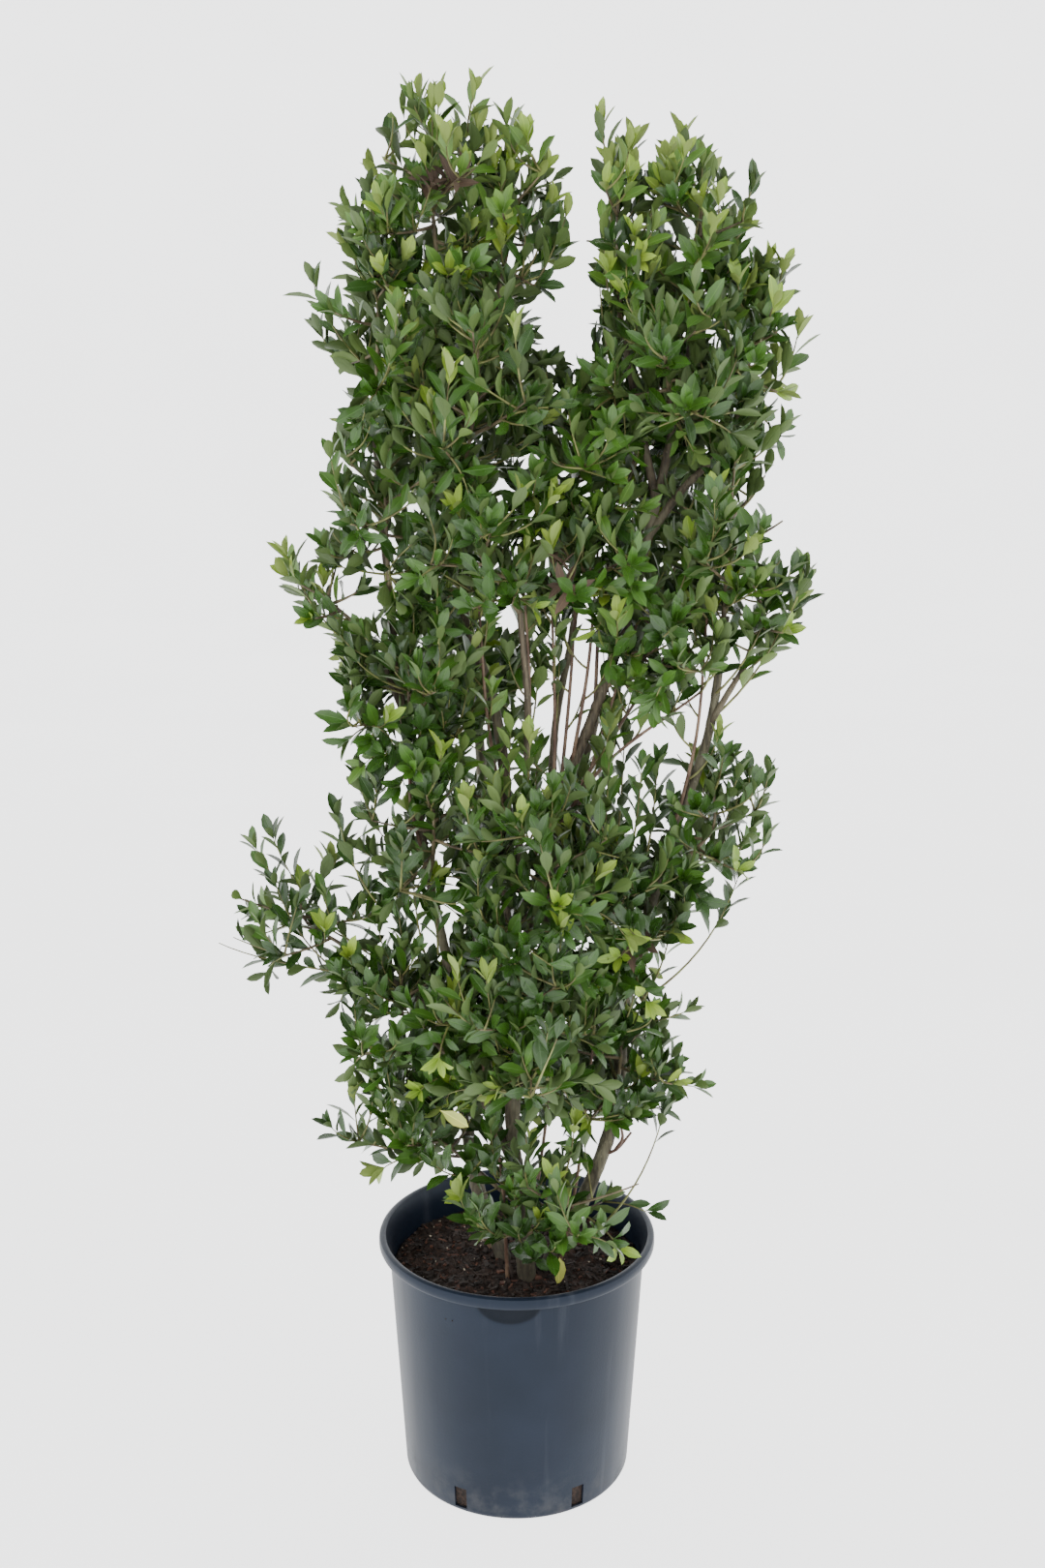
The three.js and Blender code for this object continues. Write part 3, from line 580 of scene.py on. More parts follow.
class Mass:
    """One mass of foliage: its space, its stem and the twigs on that stem."""

    def __init__(self, row, index, limbs):
        self.name, limb, height, centre, reach = row
        self.centre, self.reach = spot(centre), spot(reach)
        self.seed = FIRST_SEED + SEED_STEP * index
        self.size = float(np.cbrt(np.prod(self.reach)))
        self.foot = limbs[limb].spine(limbs[limb].share_at_height(height))

    def settle(self, limb_spots, limb_radii):
        """Lay the stem, clear of the limbs."""
        middle = steered(self.centre.copy(), limb_spots, limb_radii)
        top = middle + UP * (self.reach[2] - SOLID_LEAF_LENGTH * MASS_STEM_TOP_ROOM)
        top = steered(top, limb_spots, limb_radii)
        bend = self.foot + (middle - self.foot) * MASS_STEM_BEND
        self.stem = Curve([self.foot, bend, middle, top], MASS_STEM_RADII)

    def depth(self, spots):
        """How far inside its own cell each spot is, before the cell of a neighbour starts."""
        own = np.sum((spots - self.centre) ** 2, axis=-1) - self.size ** 2
        room = np.full(own.shape, math.inf)
        for other in self.neighbours:
            theirs = np.sum((spots - other.centre) ** 2, axis=-1) - other.size ** 2
            apart = np.linalg.norm(other.centre - self.centre)
            room = np.minimum(room, (theirs - own) / (2 * apart))
        return room

    def share(self, spots):
        """The square of how far each spot is towards the edge of the mass's reach."""
        return np.sum(((spots - self.centre) / self.reach) ** 2, axis=-1)

    def takes(self, place):
        """Whether fine growth may end at a place, in the mass or between it and another."""
        share = self.share(place)
        if share <= EDGE_REACH:
            return True
        return share < BRIDGE_REACH and any(
            other.share(place) < BRIDGE_REACH for other in self.neighbours)

    def holds(self, spots, furthest=1):
        """Whether each spot is inside the mass's reach and clear of the compost and the rim."""
        height = spots[..., 2]
        near_wall = np.hypot(spots[..., 0], spots[..., 1]) > LIP_RADIUS - RIM_CLEARANCE
        at_rim = near_wall & (height < POT_HEIGHT + RIM_CLEARANCE)
        return (self.share(spots) <= furthest) & (height > SOIL_TOP + SOIL_CLEARANCE) & ~at_rim

    def twig_is_clear(self, start, end):
        line = end - start
        spots = start + np.outer(TWIG_CHECKS, line)
        if not (self.holds(spots) & (self.depth(spots) > LEAF_CLEARANCE)).all():
            return False
        shares = np.clip((self.probe_spots - start) @ line / (line @ line), 0, 1)
        away = np.linalg.norm(start + shares[:, None] * line - self.probe_spots, axis=1)
        return bool((away >= self.probe_radii + TWIG_RADIUS + LEAF_CLEARANCE).all())

    def grow_twigs(self):
        """The twigs of the solid, each from the stem to a place on the mass's reach."""
        self.twigs = []
        for twig in range(TWIGS_PER_MASS):
            height = HIGHEST_AIM + (LOWEST_AIM - HIGHEST_AIM) * (twig + 0.5) / TWIGS_PER_MASS
            aim = golden_aim(height, twig, self.seed)
            spring = self.stem.spine(SPRING_MIDDLE + SPRING_SPAN * height)
            for share in TWIG_REACHES:
                tip = self.centre + aim * self.reach * share
                heading = unit(tip - spring)
                end = tip - heading * TWIG_TIP_ROOM
                if (end - spring) @ heading >= SHORTEST_TWIG and self.twig_is_clear(spring, end):
                    self.twigs.append((spring, end))
                    break


@functools.lru_cache(maxsize=None)
def plant_frame():
    """Every limb's curve and every mass with its stem and twigs, by the solids' rule."""
    limbs = limb_curves()
    limb_spots, limb_radii = (
        np.concatenate(parts) for parts in zip(*[limb.probes() for limb in limbs.values()]))
    masses = [Mass(row, index, limbs) for index, row in enumerate(MASSES)]
    for mass in masses:
        mass.settle(limb_spots, limb_radii)
    stems = [mass.stem.probes() for mass in masses]
    for index, mass in enumerate(masses):
        mass.neighbours = [other for other in masses if other is not mass and (
            np.linalg.norm(other.centre - mass.centre) < mass.reach.max() + other.reach.max())]
        others = [stem for rank, stem in enumerate(stems) if rank != index]
        spots = np.concatenate([limb_spots, *[stem[0] for stem in others]])
        radii = np.concatenate([limb_radii, *[stem[1] for stem in others]])
        span = mass.reach.max() + SOLID_LEAF_LENGTH
        near = np.linalg.norm(spots - mass.centre, axis=1) < span
        mass.probe_spots, mass.probe_radii = spots[near], radii[near]
        mass.grow_twigs()
    return limbs, masses


class Crown:
    """The twigs and leaves of the whole crown, carried on from the solids' twigs."""

    def __init__(self, growth):
        self.growth = growth
        self.wood, self.shoots = [], []
        self.leaves = {tint: [] for tint in LEAF_LOOKS}
        limbs, masses = plant_frame()
        self._plant_tree(limbs)
        for mass in masses:
            self._grow(mass)
        self._grow_long_shoots(masses)

    def _plant_tree(self, limbs):
        """A search tree of spots along the limbs."""
        spots, self.limb_radii = (
            np.concatenate(parts) for parts in zip(*[limb.probes() for limb in limbs.values()]))
        self.tree = kdtree.KDTree(len(spots))
        for index, place in enumerate(spots):
            self.tree.insert(Vector(place), index)
        self.tree.balance()

    def _clear_of_limbs(self, place):
        _, index, distance = self.tree.find(Vector(place))
        return distance > self.limb_radii[index] + LEAF_BERTH

    def _grow(self, mass):
        """The stem and twigs of one mass, with side shoots spread evenly through its space."""
        chance = np.random.default_rng(mass.seed)
        stem = mass.stem.at(np.linspace(0, 1, STEM_SPOTS))
        self.wood.append((stem, *STEM_RADII))
        skeleton = [stem[STEM_FOOT_SPOTS:]]
        lines = [(stem[STEM_BARE_SPOTS:], STEM_BARE)]
        for spring, end in mass.twigs:
            sag = (spring + end) / 2 - UP * TWIG_SAG * np.linalg.norm(end - spring)
            line = arc(spring, sag, end, TWIG_SPOTS)
            self.wood.append((line, *TWIG_RADII))
            skeleton.append(line)
            lines.append((line, TWIG_BARE))
        mass.skeleton = np.concatenate(skeleton)
        for target in self._targets(mass, chance):
            bare_clump = noise.noise(Vector(target / CLUMP_SIZE)) < CLUMP_EDGE
            outside = mass.depth(target) < -self.growth.overlap or not mass.takes(target)
            if bare_clump or outside or is_open(target):
                continue
            line = self._shoot_line(mass, target, chance)
            if line is not None:
                self.shoots.append((line, *SHOOT_RADII))
                lines.append((line, SHOOT_BARE))
        freshness = FRESHNESS.get(mass.name, USUAL_FRESHNESS)
        for line, bare in lines:
            self._leaf_out(mass, line, bare, freshness, chance)

    def _targets(self, mass, chance):
        """Places spread evenly through a mass and a little beyond it."""
        volume, furthest = 4 / 3 * math.pi * np.prod(mass.reach), FURTHEST_TARGET ** 3
        count = round(volume * furthest / self.growth.shoot_volume)
        count = round(count * SPARSE_MASSES.get(mass.name, 1))
        shares = [NEAREST_TARGET_SHARE, furthest - NEAREST_TARGET_SHARE]
        return [mass.centre + golden_aim(1 - 2 * (rank + 0.5) / count, rank, mass.seed)
                * mass.reach * spread(shares, chance) ** (1 / 3) for rank in range(count)]

    def _shoot_line(self, mass, target, chance):
        """A shoot to a place from the best spot on a mass's stem and twigs, if there is one."""
        away = target - mass.skeleton
        distance = np.linalg.norm(away, axis=1)
        low = np.maximum(0, WANTED_RISE * distance - away[:, 2])
        cost = distance + LOW_RISE_COST * low
        cost[(distance < SHORTEST_SHOOT) | (distance > LONGEST_SHOOT)] = math.inf
        best = int(np.argmin(cost))
        if cost[best] == math.inf:
            return None
        line = rising(mass.skeleton[best], target)
        if any(is_open(place) for place in line):
            return None
        sway = np.sin(np.linspace(0, math.pi, len(line)))[:, None]
        return line + sway * chance.normal(0, SHOOT_SWAY * distance[best], 3)

    def _edge_shoots(self, mass, chance):
        """Shoots that stand out of a mass where no other mass lies beyond it."""
        lines = []
        count = round(EDGE_SHOOTS * SPARSE_MASSES.get(mass.name, 1))
        for rank in range(count):
            height = (rank + 0.5) / count * EDGE_AIM_SPAN + EDGE_AIM_LOWEST
            aim = golden_aim(height, rank + 0.5, mass.seed)
            tip = mass.centre + aim * mass.reach * spread(EDGE_TIP_REACH, chance)
            covered = any(other.share(tip) < EDGE_CLEARANCE for other in mass.neighbours)
            line = self._shoot_line(mass, tip, chance)
            if not covered and not is_open(tip) and line is not None:
                lines.append(line)
        return lines

    def _thin_stem_sprays(self, chance):
        """Short sprays up the thin stems."""
        lines = []
        for places in HIGH_THIN_STEMS:
            stem = Curve(places, THIN_STEM_RADII)
            for share in np.linspace(SPRAYS_START, 1, SPRAYS_PER_THIN_STEM):
                start, turn = stem.at(share), chance.random() * TURN
                aside = spot([math.cos(turn), math.sin(turn), 0]) * spread(SPRAY_REACH, chance)
                end = start + aside + UP * spread(SPRAY_RISE, chance)
                bend = start + SPRAY_BEND * aside + UP * SPRAY_BEND_RISE
                lines.append(arc(start, bend, end, TWIG_SPOTS))
        return lines

    def _grow_long_shoots(self, masses):
        """The long shoots, the shoots at the crown's edge and the sprays on thin stems."""
        chance = np.random.default_rng(LONG_SHOOT_SEED)
        lines = [rising(spot(start), spot(end)) for start, end in LONG_SHOOTS]
        for mass in masses:
            lines += self._edge_shoots(mass, chance)
        for line in lines + self._thin_stem_sprays(chance):
            self.shoots.append((line, *LONG_SHOOT_RADII))
            mass = min(masses, key=lambda mass: mass.share(line[NEAR_TIP]))
            freshness = max(LONG_SHOOT_FRESHNESS, FRESHNESS.get(mass.name, 0))
            self._leaf_out(mass, line, LONG_SHOOT_BARE, freshness, chance)

    def _leaf_out(self, mass, line, bare, freshness, chance):
        """Alternate leaves along a shoot, closing up towards its tip."""
        if line[-1][2] > FRESH_HEIGHT:
            freshness = TOP_FRESHNESS
        lengths = lengths_along(line)
        total = lengths[-1]
        roll = chance.random() + (SHADE if line[0][2] < SHADE_HEIGHT else 0)
        tints = ("fresh" if roll < freshness * FRESH_SHARE else "mid" if roll < MID_LIMIT else
                 "deep" if roll < DEEP_LIMIT else "dark",)
        if chance.random() < freshness * YOUNG_SHARE:
            tints = (*tints, "young")
        place, turn = total * bare, chance.random() * TURN
        while place <= total + 1e-6:
            self._leaf(mass, line, lengths, place, turn, tints, chance)
            turn += GOLDEN_ANGLE
            place += self.growth.leaf_spacing * spread(LEAF_SPACING_SPREAD, chance)
        for _ in range(TIP_LEAVES):
            self._leaf(mass, line, lengths, total, turn, tints, chance)
            turn += GOLDEN_ANGLE

    def _leaf(self, mass, line, lengths, place, turn, tints, chance):
        """One leaf, left out where it would reach a limb, an open place or past the solids."""
        total = lengths[-1]
        ends = min(place + TIP_PROBE, total), max(min(place, total - TIP_PROBE), 0)
        root, ahead, behind = read_along([place, *ends], lengths, line)
        heading = unit(ahead - behind)
        side = unit(np.cross(heading, LEAF_CROSS))
        out = side * math.cos(turn) + np.cross(heading, side) * math.sin(turn)
        near_tip = 1 - min(1, (total - place) / TIP_LENGTH)
        lean = math.radians(LEAN - TIP_LEAN * near_tip + chance.normal(0, LEAN_SPREAD))
        along = unit(heading * math.cos(lean) + out * math.sin(lean) + UP * LEAF_RISE)
        face = heading * math.sin(lean) - out * math.cos(lean)
        outward = unit((root - mass.centre) * FACE_OUT_SHARES)
        face = face + UP * FACE_UP + outward * FACE_OUT + chance.normal(0, FACE_SPREAD, 3)
        face = unit(face - along * (face @ along))
        size = spread(LEAF_SIZE, chance) * (1 - TIP_SHRINK * near_tip)
        tint = tints[-1] if near_tip > YOUNG_EDGE else tints[0]
        withered = np.linalg.norm(root - WITHERED_PLACES, axis=1).min() < WITHERED_REACH
        if withered:
            tint, size = "withered", size * WITHERED_SIZE
        length = self.growth.leaf_length * size
        middle = root + along * length * LEAF_MIDDLE
        if not mass.holds(middle, FURTHEST_LEAF) or not self._clear_of_limbs(middle):
            return
        tip = root + along * length
        beyond = (tip < BOX_LOW - BOX_SPARE).any() or (tip > BOX_HIGH + BOX_SPARE).any()
        if beyond or is_open(middle):
            return
        width = self.growth.leaf_width * size * spread(LEAF_WIDTH_SPREAD, chance)
        curl = spread(LEAF_CURL, chance) + (WITHERED_CURL if withered else 0)
        self.leaves[tint].append((root, along, face, length, width, curl))


Growth = namedtuple("Growth", "shoot_volume overlap leaf_length leaf_width leaf_spacing")
crown_of = functools.lru_cache(maxsize=None)(Crown)


def crown(settings):
    """The crown for these settings, grown once and kept."""
    return crown_of(Growth(*[round(getattr(settings, name), 4) for name in Growth._fields]))


# Meshes
def new_object(name, mesh, material):
    shape = bpy.data.objects.new(name, mesh)
    bpy.context.scene.collection.objects.link(shape)
    mesh.materials.append(material)
    return shape


def from_bmesh(name, bm, material, sharp=35):
    """A finished object from a bmesh, shaded smooth but for its sharp edges."""
    bmesh.ops.recalc_face_normals(bm, faces=bm.faces)
    for face in bm.faces:
        face.smooth = True
    for edge in bm.edges:
        if len(edge.link_faces) == 2 and edge.calc_face_angle(0) > math.radians(sharp):
            edge.smooth = False
    mesh = bpy.data.meshes.new(name)
    bm.to_mesh(mesh)
    bm.free()
    return new_object(name, mesh, material)


def from_arrays(name, spots, triangles, material, uvs=None, smooth=True):
    """A finished object from arrays of spots in millimetres and of corner numbers."""
    mesh = bpy.data.meshes.new(name)
    mesh.vertices.add(len(spots))
    mesh.vertices.foreach_set("co", (np.asarray(spots, np.float32) * MM).ravel())
    mesh.loops.add(triangles.size)
    mesh.loops.foreach_set("vertex_index", triangles.astype(np.int32).ravel())
    mesh.polygons.add(len(triangles))
    mesh.polygons.foreach_set("loop_start", np.arange(len(triangles), dtype=np.int32) * 3)
    mesh.polygons.foreach_set("use_smooth", np.full(len(triangles), smooth))
    if uvs is not None:
        layer = mesh.uv_layers.new(name="leaf")
        layer.data.foreach_set("uv", uvs[triangles.ravel()].astype(np.float32).ravel())
    mesh.update(calc_edges=True)
    return new_object(name, mesh, material)


def stands_for(shape, nodes):
    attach(shape, "root")
    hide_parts(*nodes)


def frames_along(line):
    """Two square directions across a line at each of its spots, without any twist."""
    heading = unit(np.gradient(line, axis=0))
    side = unit(np.cross(heading[0], LINE_CROSS))
    sides = []
    for direction in heading:
        side = unit(side - direction * (side @ direction))
        sides.append(side)
    return np.array(sides), np.cross(heading, sides)


def tubes(lines, sides):
    """Tapered closed tubes along many lines, joined in two arrays."""
    all_spots, all_faces, first = [], [], 0
    turns = (np.arange(sides) * TURN / sides)[None, :, None]
    fan = np.array([[0, k + 1, k] for k in range(1, sides - 1)])
    for line, thick, thin in lines:
        side, other = frames_along(line)
        radii = np.linspace(thick, thin, len(line))[:, None, None]
        ring = side[:, None] * np.cos(turns) + other[:, None] * np.sin(turns)
        rank, turn = np.meshgrid(np.arange(len(line) - 1), np.arange(sides), indexing="ij")
        a, b = rank * sides + turn, rank * sides + (turn + 1) % sides
        c, d = a + sides, b + sides
        walls = [np.stack(face, -1).reshape(-1, 3) for face in ((a, b, d), (a, d, c))]
        cap = fan[:, [0, 2, 1]] + (len(line) - 1) * sides
        all_spots.append((line[:, None] + ring * radii).reshape(-1, 3))
        all_faces.append(np.concatenate([*walls, fan, cap]) + first)
        first += len(line) * sides
    return np.concatenate(all_spots), np.concatenate(all_faces)


def wall_radius(height):
    share = (height - FOOT_ROUND) / (WALL_TOP - FOOT_ROUND)
    return FOOT_RADIUS + (WALL_TOP_RADIUS - FOOT_RADIUS) * share


def spun(profile, steps, start_angle=0):
    """A solid of revolution from a profile of radius and height in millimetres."""
    bm = bmesh.new()
    turn = math.radians(start_angle)
    verts = [bm.verts.new((r * math.cos(turn) * MM, r * math.sin(turn) * MM, z * MM))
             for r, z in profile]
    edges = [bm.edges.new(pair) for pair in zip(verts, verts[1:])]
    bmesh.ops.spin(bm, geom=verts + edges, cent=(0, 0, 0), axis=(0, 0, 1), dvec=(0, 0, 0),
                   angle=TURN, steps=steps, use_merge=True)
    bmesh.ops.remove_doubles(bm, verts=bm.verts, dist=1e-6)
    return bm


def pot_profile(rows):
    """The pot's section, up its outside, over the rim and down its inside."""
    scoop_bottom = WALL_TOP - SCOOP_ROWS_HEIGHT
    profile = [(0, 0), (FLOOR_RING, 0)]
    profile += [(FOOT_RADIUS - inwards, height) for inwards, height in FOOT_EDGE]
    heights = [SLOT_BOTTOM, SLOT_TOP, *np.linspace(SLOT_TOP, scoop_bottom, rows)[1:]]
    heights += list(np.linspace(scoop_bottom, WALL_TOP, SCOOP_ROWS)[1:])
    profile += [(wall_radius(height), height) for height in heights]
    profile += [(radius, WALL_TOP + height) for radius, height in RIM_UNDERSIDE]
    profile += [(radius, POT_HEIGHT - depth) for radius, depth in RIM_TOP]
    profile += [(wall_radius(height) - WALL_THICKNESS, height)
                for height in [*INNER_HEIGHTS, FLOOR_THICKNESS]]
    return profile + [(FLOOR_RING, FLOOR_THICKNESS), (0, FLOOR_THICKNESS)]


def slot_at(place):
    """The number of the drain slot that a place in metres lies in, or None."""
    x, y, z = (value / MM for value in place)
    if not SLOT_BOTTOM - 0.1 <= z <= SLOT_TOP + 0.1 or math.hypot(x, y) < SLOT_LEAST_RADIUS:
        return None
    turn = math.degrees(math.atan2(y, x)) - SLOT_FIRST_ANGLE
    beyond = turn % SLOT_APART
    if min(beyond, SLOT_APART - beyond) > SLOT_HALF_TURN + 0.05:
        return None
    return round(turn / SLOT_APART) % SLOT_COUNT


def cut_slots(bm):
    """Drain slots: the wall's two skins are opened and joined round the edge of each slot."""
    doomed = [face for face in bm.faces if slot_at(face.calc_center_median()) is not None]
    bmesh.ops.delete(bm, geom=doomed, context="FACES")
    for slot in range(SLOT_COUNT):
        rim = [edge for edge in bm.edges if edge.is_boundary
               and slot_at((edge.verts[0].co + edge.verts[1].co) / 2) == slot]
        bmesh.ops.bridge_loops(bm, edges=rim)


def press_scoop(bm):
    """The shallow half-round dent that is moulded under the rim at the front."""
    for vert in bm.verts:
        x, y, z = (value / MM for value in vert.co)
        radius = math.hypot(x, y)
        if y > 0 or z > WALL_TOP - 0.5 or radius < wall_radius(z) - 1:
            continue
        across, down = (x - SCOOP_MIDDLE) / SCOOP_HALF_WIDTH, (WALL_TOP - z) / SCOOP_HEIGHT
        share = across ** 2 + down ** 2
        if share < 1:
            depth = SCOOP_DEPTH * min(1, SCOOP_STEEPNESS * (1 - share))
            vert.co.x *= 1 - depth / radius
            vert.co.y *= 1 - depth / radius


def soil_height(x, y, lumps):
    """The height of the compost at a place, in millimetres."""
    radius = math.hypot(x, y)
    mound = SOIL_MOUND * math.exp(-(radius / SOIL_MOUND_RADIUS) ** 2)
    mound -= SOIL_EDGE_DROP * (radius / SOIL_DROP_RADIUS) ** 3
    bumps = sum(share * noise.noise(Vector((x / size, y / size, layer)))
                for size, layer, share in SOIL_LUMPS)
    return SOIL_TOP + mound + lumps * bumps


def scraps(count, low, high, chance, lumps, lift):
    """Many small irregular blocks lying on the compost, joined in two arrays."""
    corners = np.array([[x, y, z] for z in (-1, 1) for y in (-1, 1) for x in (-1, 1)]) / 2
    faces = np.array([[0, 2, 3], [0, 3, 1], [4, 5, 7], [4, 7, 6], [0, 1, 5], [0, 5, 4],
                      [2, 6, 7], [2, 7, 3], [0, 4, 6], [0, 6, 2], [1, 3, 7], [1, 7, 5]])
    spots = []
    for _ in range(count):
        radius, angle = SCRAPS_RADIUS * math.sqrt(chance.random()), chance.random() * TURN
        x, y = radius * math.cos(angle), radius * math.sin(angle)
        size = low + (high - low) * chance.random(3) ** 2
        yaw, pitch, roll = chance.normal(0, 1, 3) * SCRAP_TURNS
        turn = np.array(Euler((roll, pitch, yaw)).to_matrix())
        block = (corners + chance.normal(0, SCRAP_UNEVENNESS, corners.shape)) * size
        spots.append(block @ turn.T + [x, y, soil_height(x, y, lumps) + lift * size[2]])
    first = np.arange(count)[:, None, None] * len(corners)
    return np.concatenate(spots), (faces + first).reshape(-1, 3)


def bark_limb(bm, limb, sides, step, relief, seed):
    """A limb as a closed tube with bark ridges and a slight swelling at each old bud."""
    rings = max(4, round(limb.length / step))
    line = limb.at(np.linspace(0, 1, rings + 1))
    if limb.ground:
        line[0] = line[0] - UP * BURIED
    side, other = frames_along(line)
    grid = bmesh.ops.create_grid(bm, x_segments=sides, y_segments=rings, size=1.0)["verts"]
    for vert in grid:
        turn, share = (vert.co.x + 1) * math.pi, (vert.co.y + 1) / 2
        rank, reach = round(share * rings), share * limb.length
        around = Vector((math.cos(turn), math.sin(turn), 0))
        ridges = noise.noise(around * RIDGES_ROUND + Vector((0, 0, reach / RIDGE_LENGTH + seed)))
        grain = noise.noise(around * GRAIN_ROUND + Vector((0, 0, reach / GRAIN_LENGTH + seed)))
        past_bud = (reach + BUD_SHIFT * seed) % BUD_SPACING - BUD_SPACING // 2
        radius = float(limb.radius(share))
        if limb.ground:
            radius -= FLARE_CUT * ROOT_FLARE * math.exp(-reach / FLARE_HEIGHT)
        radius *= 1 + relief * (ridges + GRAIN_SHARE * grain)
        radius += BUD_HEIGHT * math.exp(-(past_bud / BUD_WIDTH) ** 2)
        place = line[rank] + (side[rank] * math.cos(turn) + other[rank] * math.sin(turn)) * radius
        vert.co = Vector(place * MM)
    bmesh.ops.remove_doubles(bm, verts=grid, dist=1e-6)
    bmesh.ops.holes_fill(bm, edges=[edge for edge in bm.edges if edge.is_boundary], sides=0)


def leaf_template():
    """Corners of one leaf as (across, along, fold, under) and its triangles: the upper face and
    the underside, each on its own corners, with the same outline."""
    corners, faces = [], []
    for under in (0, 1):
        first = len(corners)
        corners.append((0, 0, 0, under))
        for along, width in LEAF_SECTIONS:
            corners += [(-width, along, 1, under), (0, along, 0, under), (width, along, 1, under)]
        corners.append((0, 1, 0, under))
        last = len(corners) - 1
        half = [(first, first + 2, first + 1), (first, first + 3, first + 2)]
        for rank in range(len(LEAF_SECTIONS) - 1):
            a = first + 1 + 3 * rank
            for k in (a, a + 1):
                half += [(k, k + 1, k + 4), (k, k + 4, k + 3)]
        a = last - 3
        half += [(a, a + 1, last), (a + 1, a + 2, last)]
        faces += [face[::-1] for face in half] if under else half
    return np.array(corners, float), np.array(faces)


def leaf_arrays(leaves):
    """All leaves of one tint, joined: spots, triangles and a map of across and along, which is
    moved over by 2 on the underside."""
    corners, faces = leaf_template()
    root, along, face, length, width, curl = (np.array(values) for values in zip(*leaves))
    across = np.cross(along, face)
    x, y, fold, under = corners.T
    half = width[:, None] / 2
    lift = half * (LEAF_FOLD * fold * np.abs(x)) - length[:, None] * curl[:, None] * y ** 2
    thick = (y > THICK_FROM) & (y < THICK_TO)
    lift = lift - LEAF_THICKNESS * under * (1 - fold) * thick
    spots = root[:, None] + along[:, None] * (y * length[:, None])[..., None]
    spots = spots + across[:, None] * (x * half)[..., None] + face[:, None] * lift[..., None]
    first = np.arange(len(leaves))[:, None, None] * len(corners)
    uv = np.stack([x / 2 + 0.5 + 2 * under, y], -1)
    return spots.reshape(-1, 3), (faces + first).reshape(-1, 3), np.tile(uv, (len(leaves), 1))


# Materials
class Field:
    """A number that varies over a surface. It takes part in sums like a plain number."""

    def __init__(self, surface, socket):
        self.surface, self.socket = surface, socket

    def math(self, operation, *values):
        return self.surface.add("ShaderNodeMath", {"operation": operation},
                                dict(enumerate(values or (self,))))

    def __add__(self, other):
        return self.math("ADD", self, other)

    def __sub__(self, other):
        return self.math("SUBTRACT", self, other)

    def __rsub__(self, other):
        return self.math("SUBTRACT", other, self)

    def __mul__(self, other):
        return self.math("MULTIPLY", self, other)

    def __truediv__(self, other):
        return self.math("DIVIDE", self, other)

    __radd__ = __add__

    def __abs__(self):
        return self.math("ABSOLUTE")

    def above(self, edge):
        return self.math("GREATER_THAN", self, edge)

    def ramp(self, low, high):
        """0 below low, 1 above high and smooth between them."""
        return self.surface.add(
            "ShaderNodeMapRange", {"interpolation_type": "SMOOTHSTEP"},
            {"Value": self, "From Min": low, "From Max": high})


class Surface:
    """One material, built on a principled shader."""

    def __init__(self, name, **constants):
        self.material = bpy.data.materials.new(name)
        self.material.use_nodes = True
        self.tree = self.material.node_tree
        self.shader = self.tree.nodes["Principled BSDF"]
        for socket, value in constants.items():
            self.set(socket.replace("_", " "), value)

    def feed(self, socket, value):
        if isinstance(value, Field):
            self.tree.links.new(value.socket, socket)
        elif isinstance(value, (tuple, list)) and len(value) == 3 and socket.type == "RGBA":
            socket.default_value = (*value, 1)
        else:
            socket.default_value = value

    def set(self, socket, value):
        self.feed(self.shader.inputs[socket], value)

    def add(self, kind, settings=None, values=None, output=0):
        """A new node with its settings and inputs, as a field of one of its outputs."""
        node = self.tree.nodes.new(kind)
        for name, value in (settings or {}).items():
            setattr(node, name, value)
        for name, value in (values or {}).items():
            self.feed(node.inputs[name], value)
        return Field(self, node.outputs[output])

    def place(self, stretch=(1, 1, 1)):
        """Object coordinates, stretched."""
        place = self.add("ShaderNodeTexCoord", output="Object")
        return self.add("ShaderNodeVectorMath", {"operation": "MULTIPLY"}, {0: place, 1: stretch})

    def axis(self, name, vector=None):
        """X, Y or Z of the object coordinates or of another vector."""
        return self.add("ShaderNodeSeparateXYZ", values={0: vector or self.place()}, output=name)

    def noise(self, scale, detail=3, stretch=(1, 1, 1)):
        return self.add("ShaderNodeTexNoise", values={
            "Vector": self.place(stretch), "Scale": scale, "Detail": detail, "Roughness": 0.55})

    def mix(self, share, first, second):
        """The first colour where the share is 0, and the second where it is 1."""
        node = self.tree.nodes.new("ShaderNodeMix")
        node.data_type = "RGBA"
        colours = [socket for socket in node.inputs if socket.type == "RGBA"]
        for socket, value in zip([node.inputs[0], *colours], [share, first, second]):
            self.feed(socket, value)
        return Field(self, next(out for out in node.outputs if out.type == "RGBA"))

    def bump(self, height, distance, strength):
        self.set("Normal", self.add("ShaderNodeBump", values={
            "Height": height, "Distance": distance, "Strength": strength}))


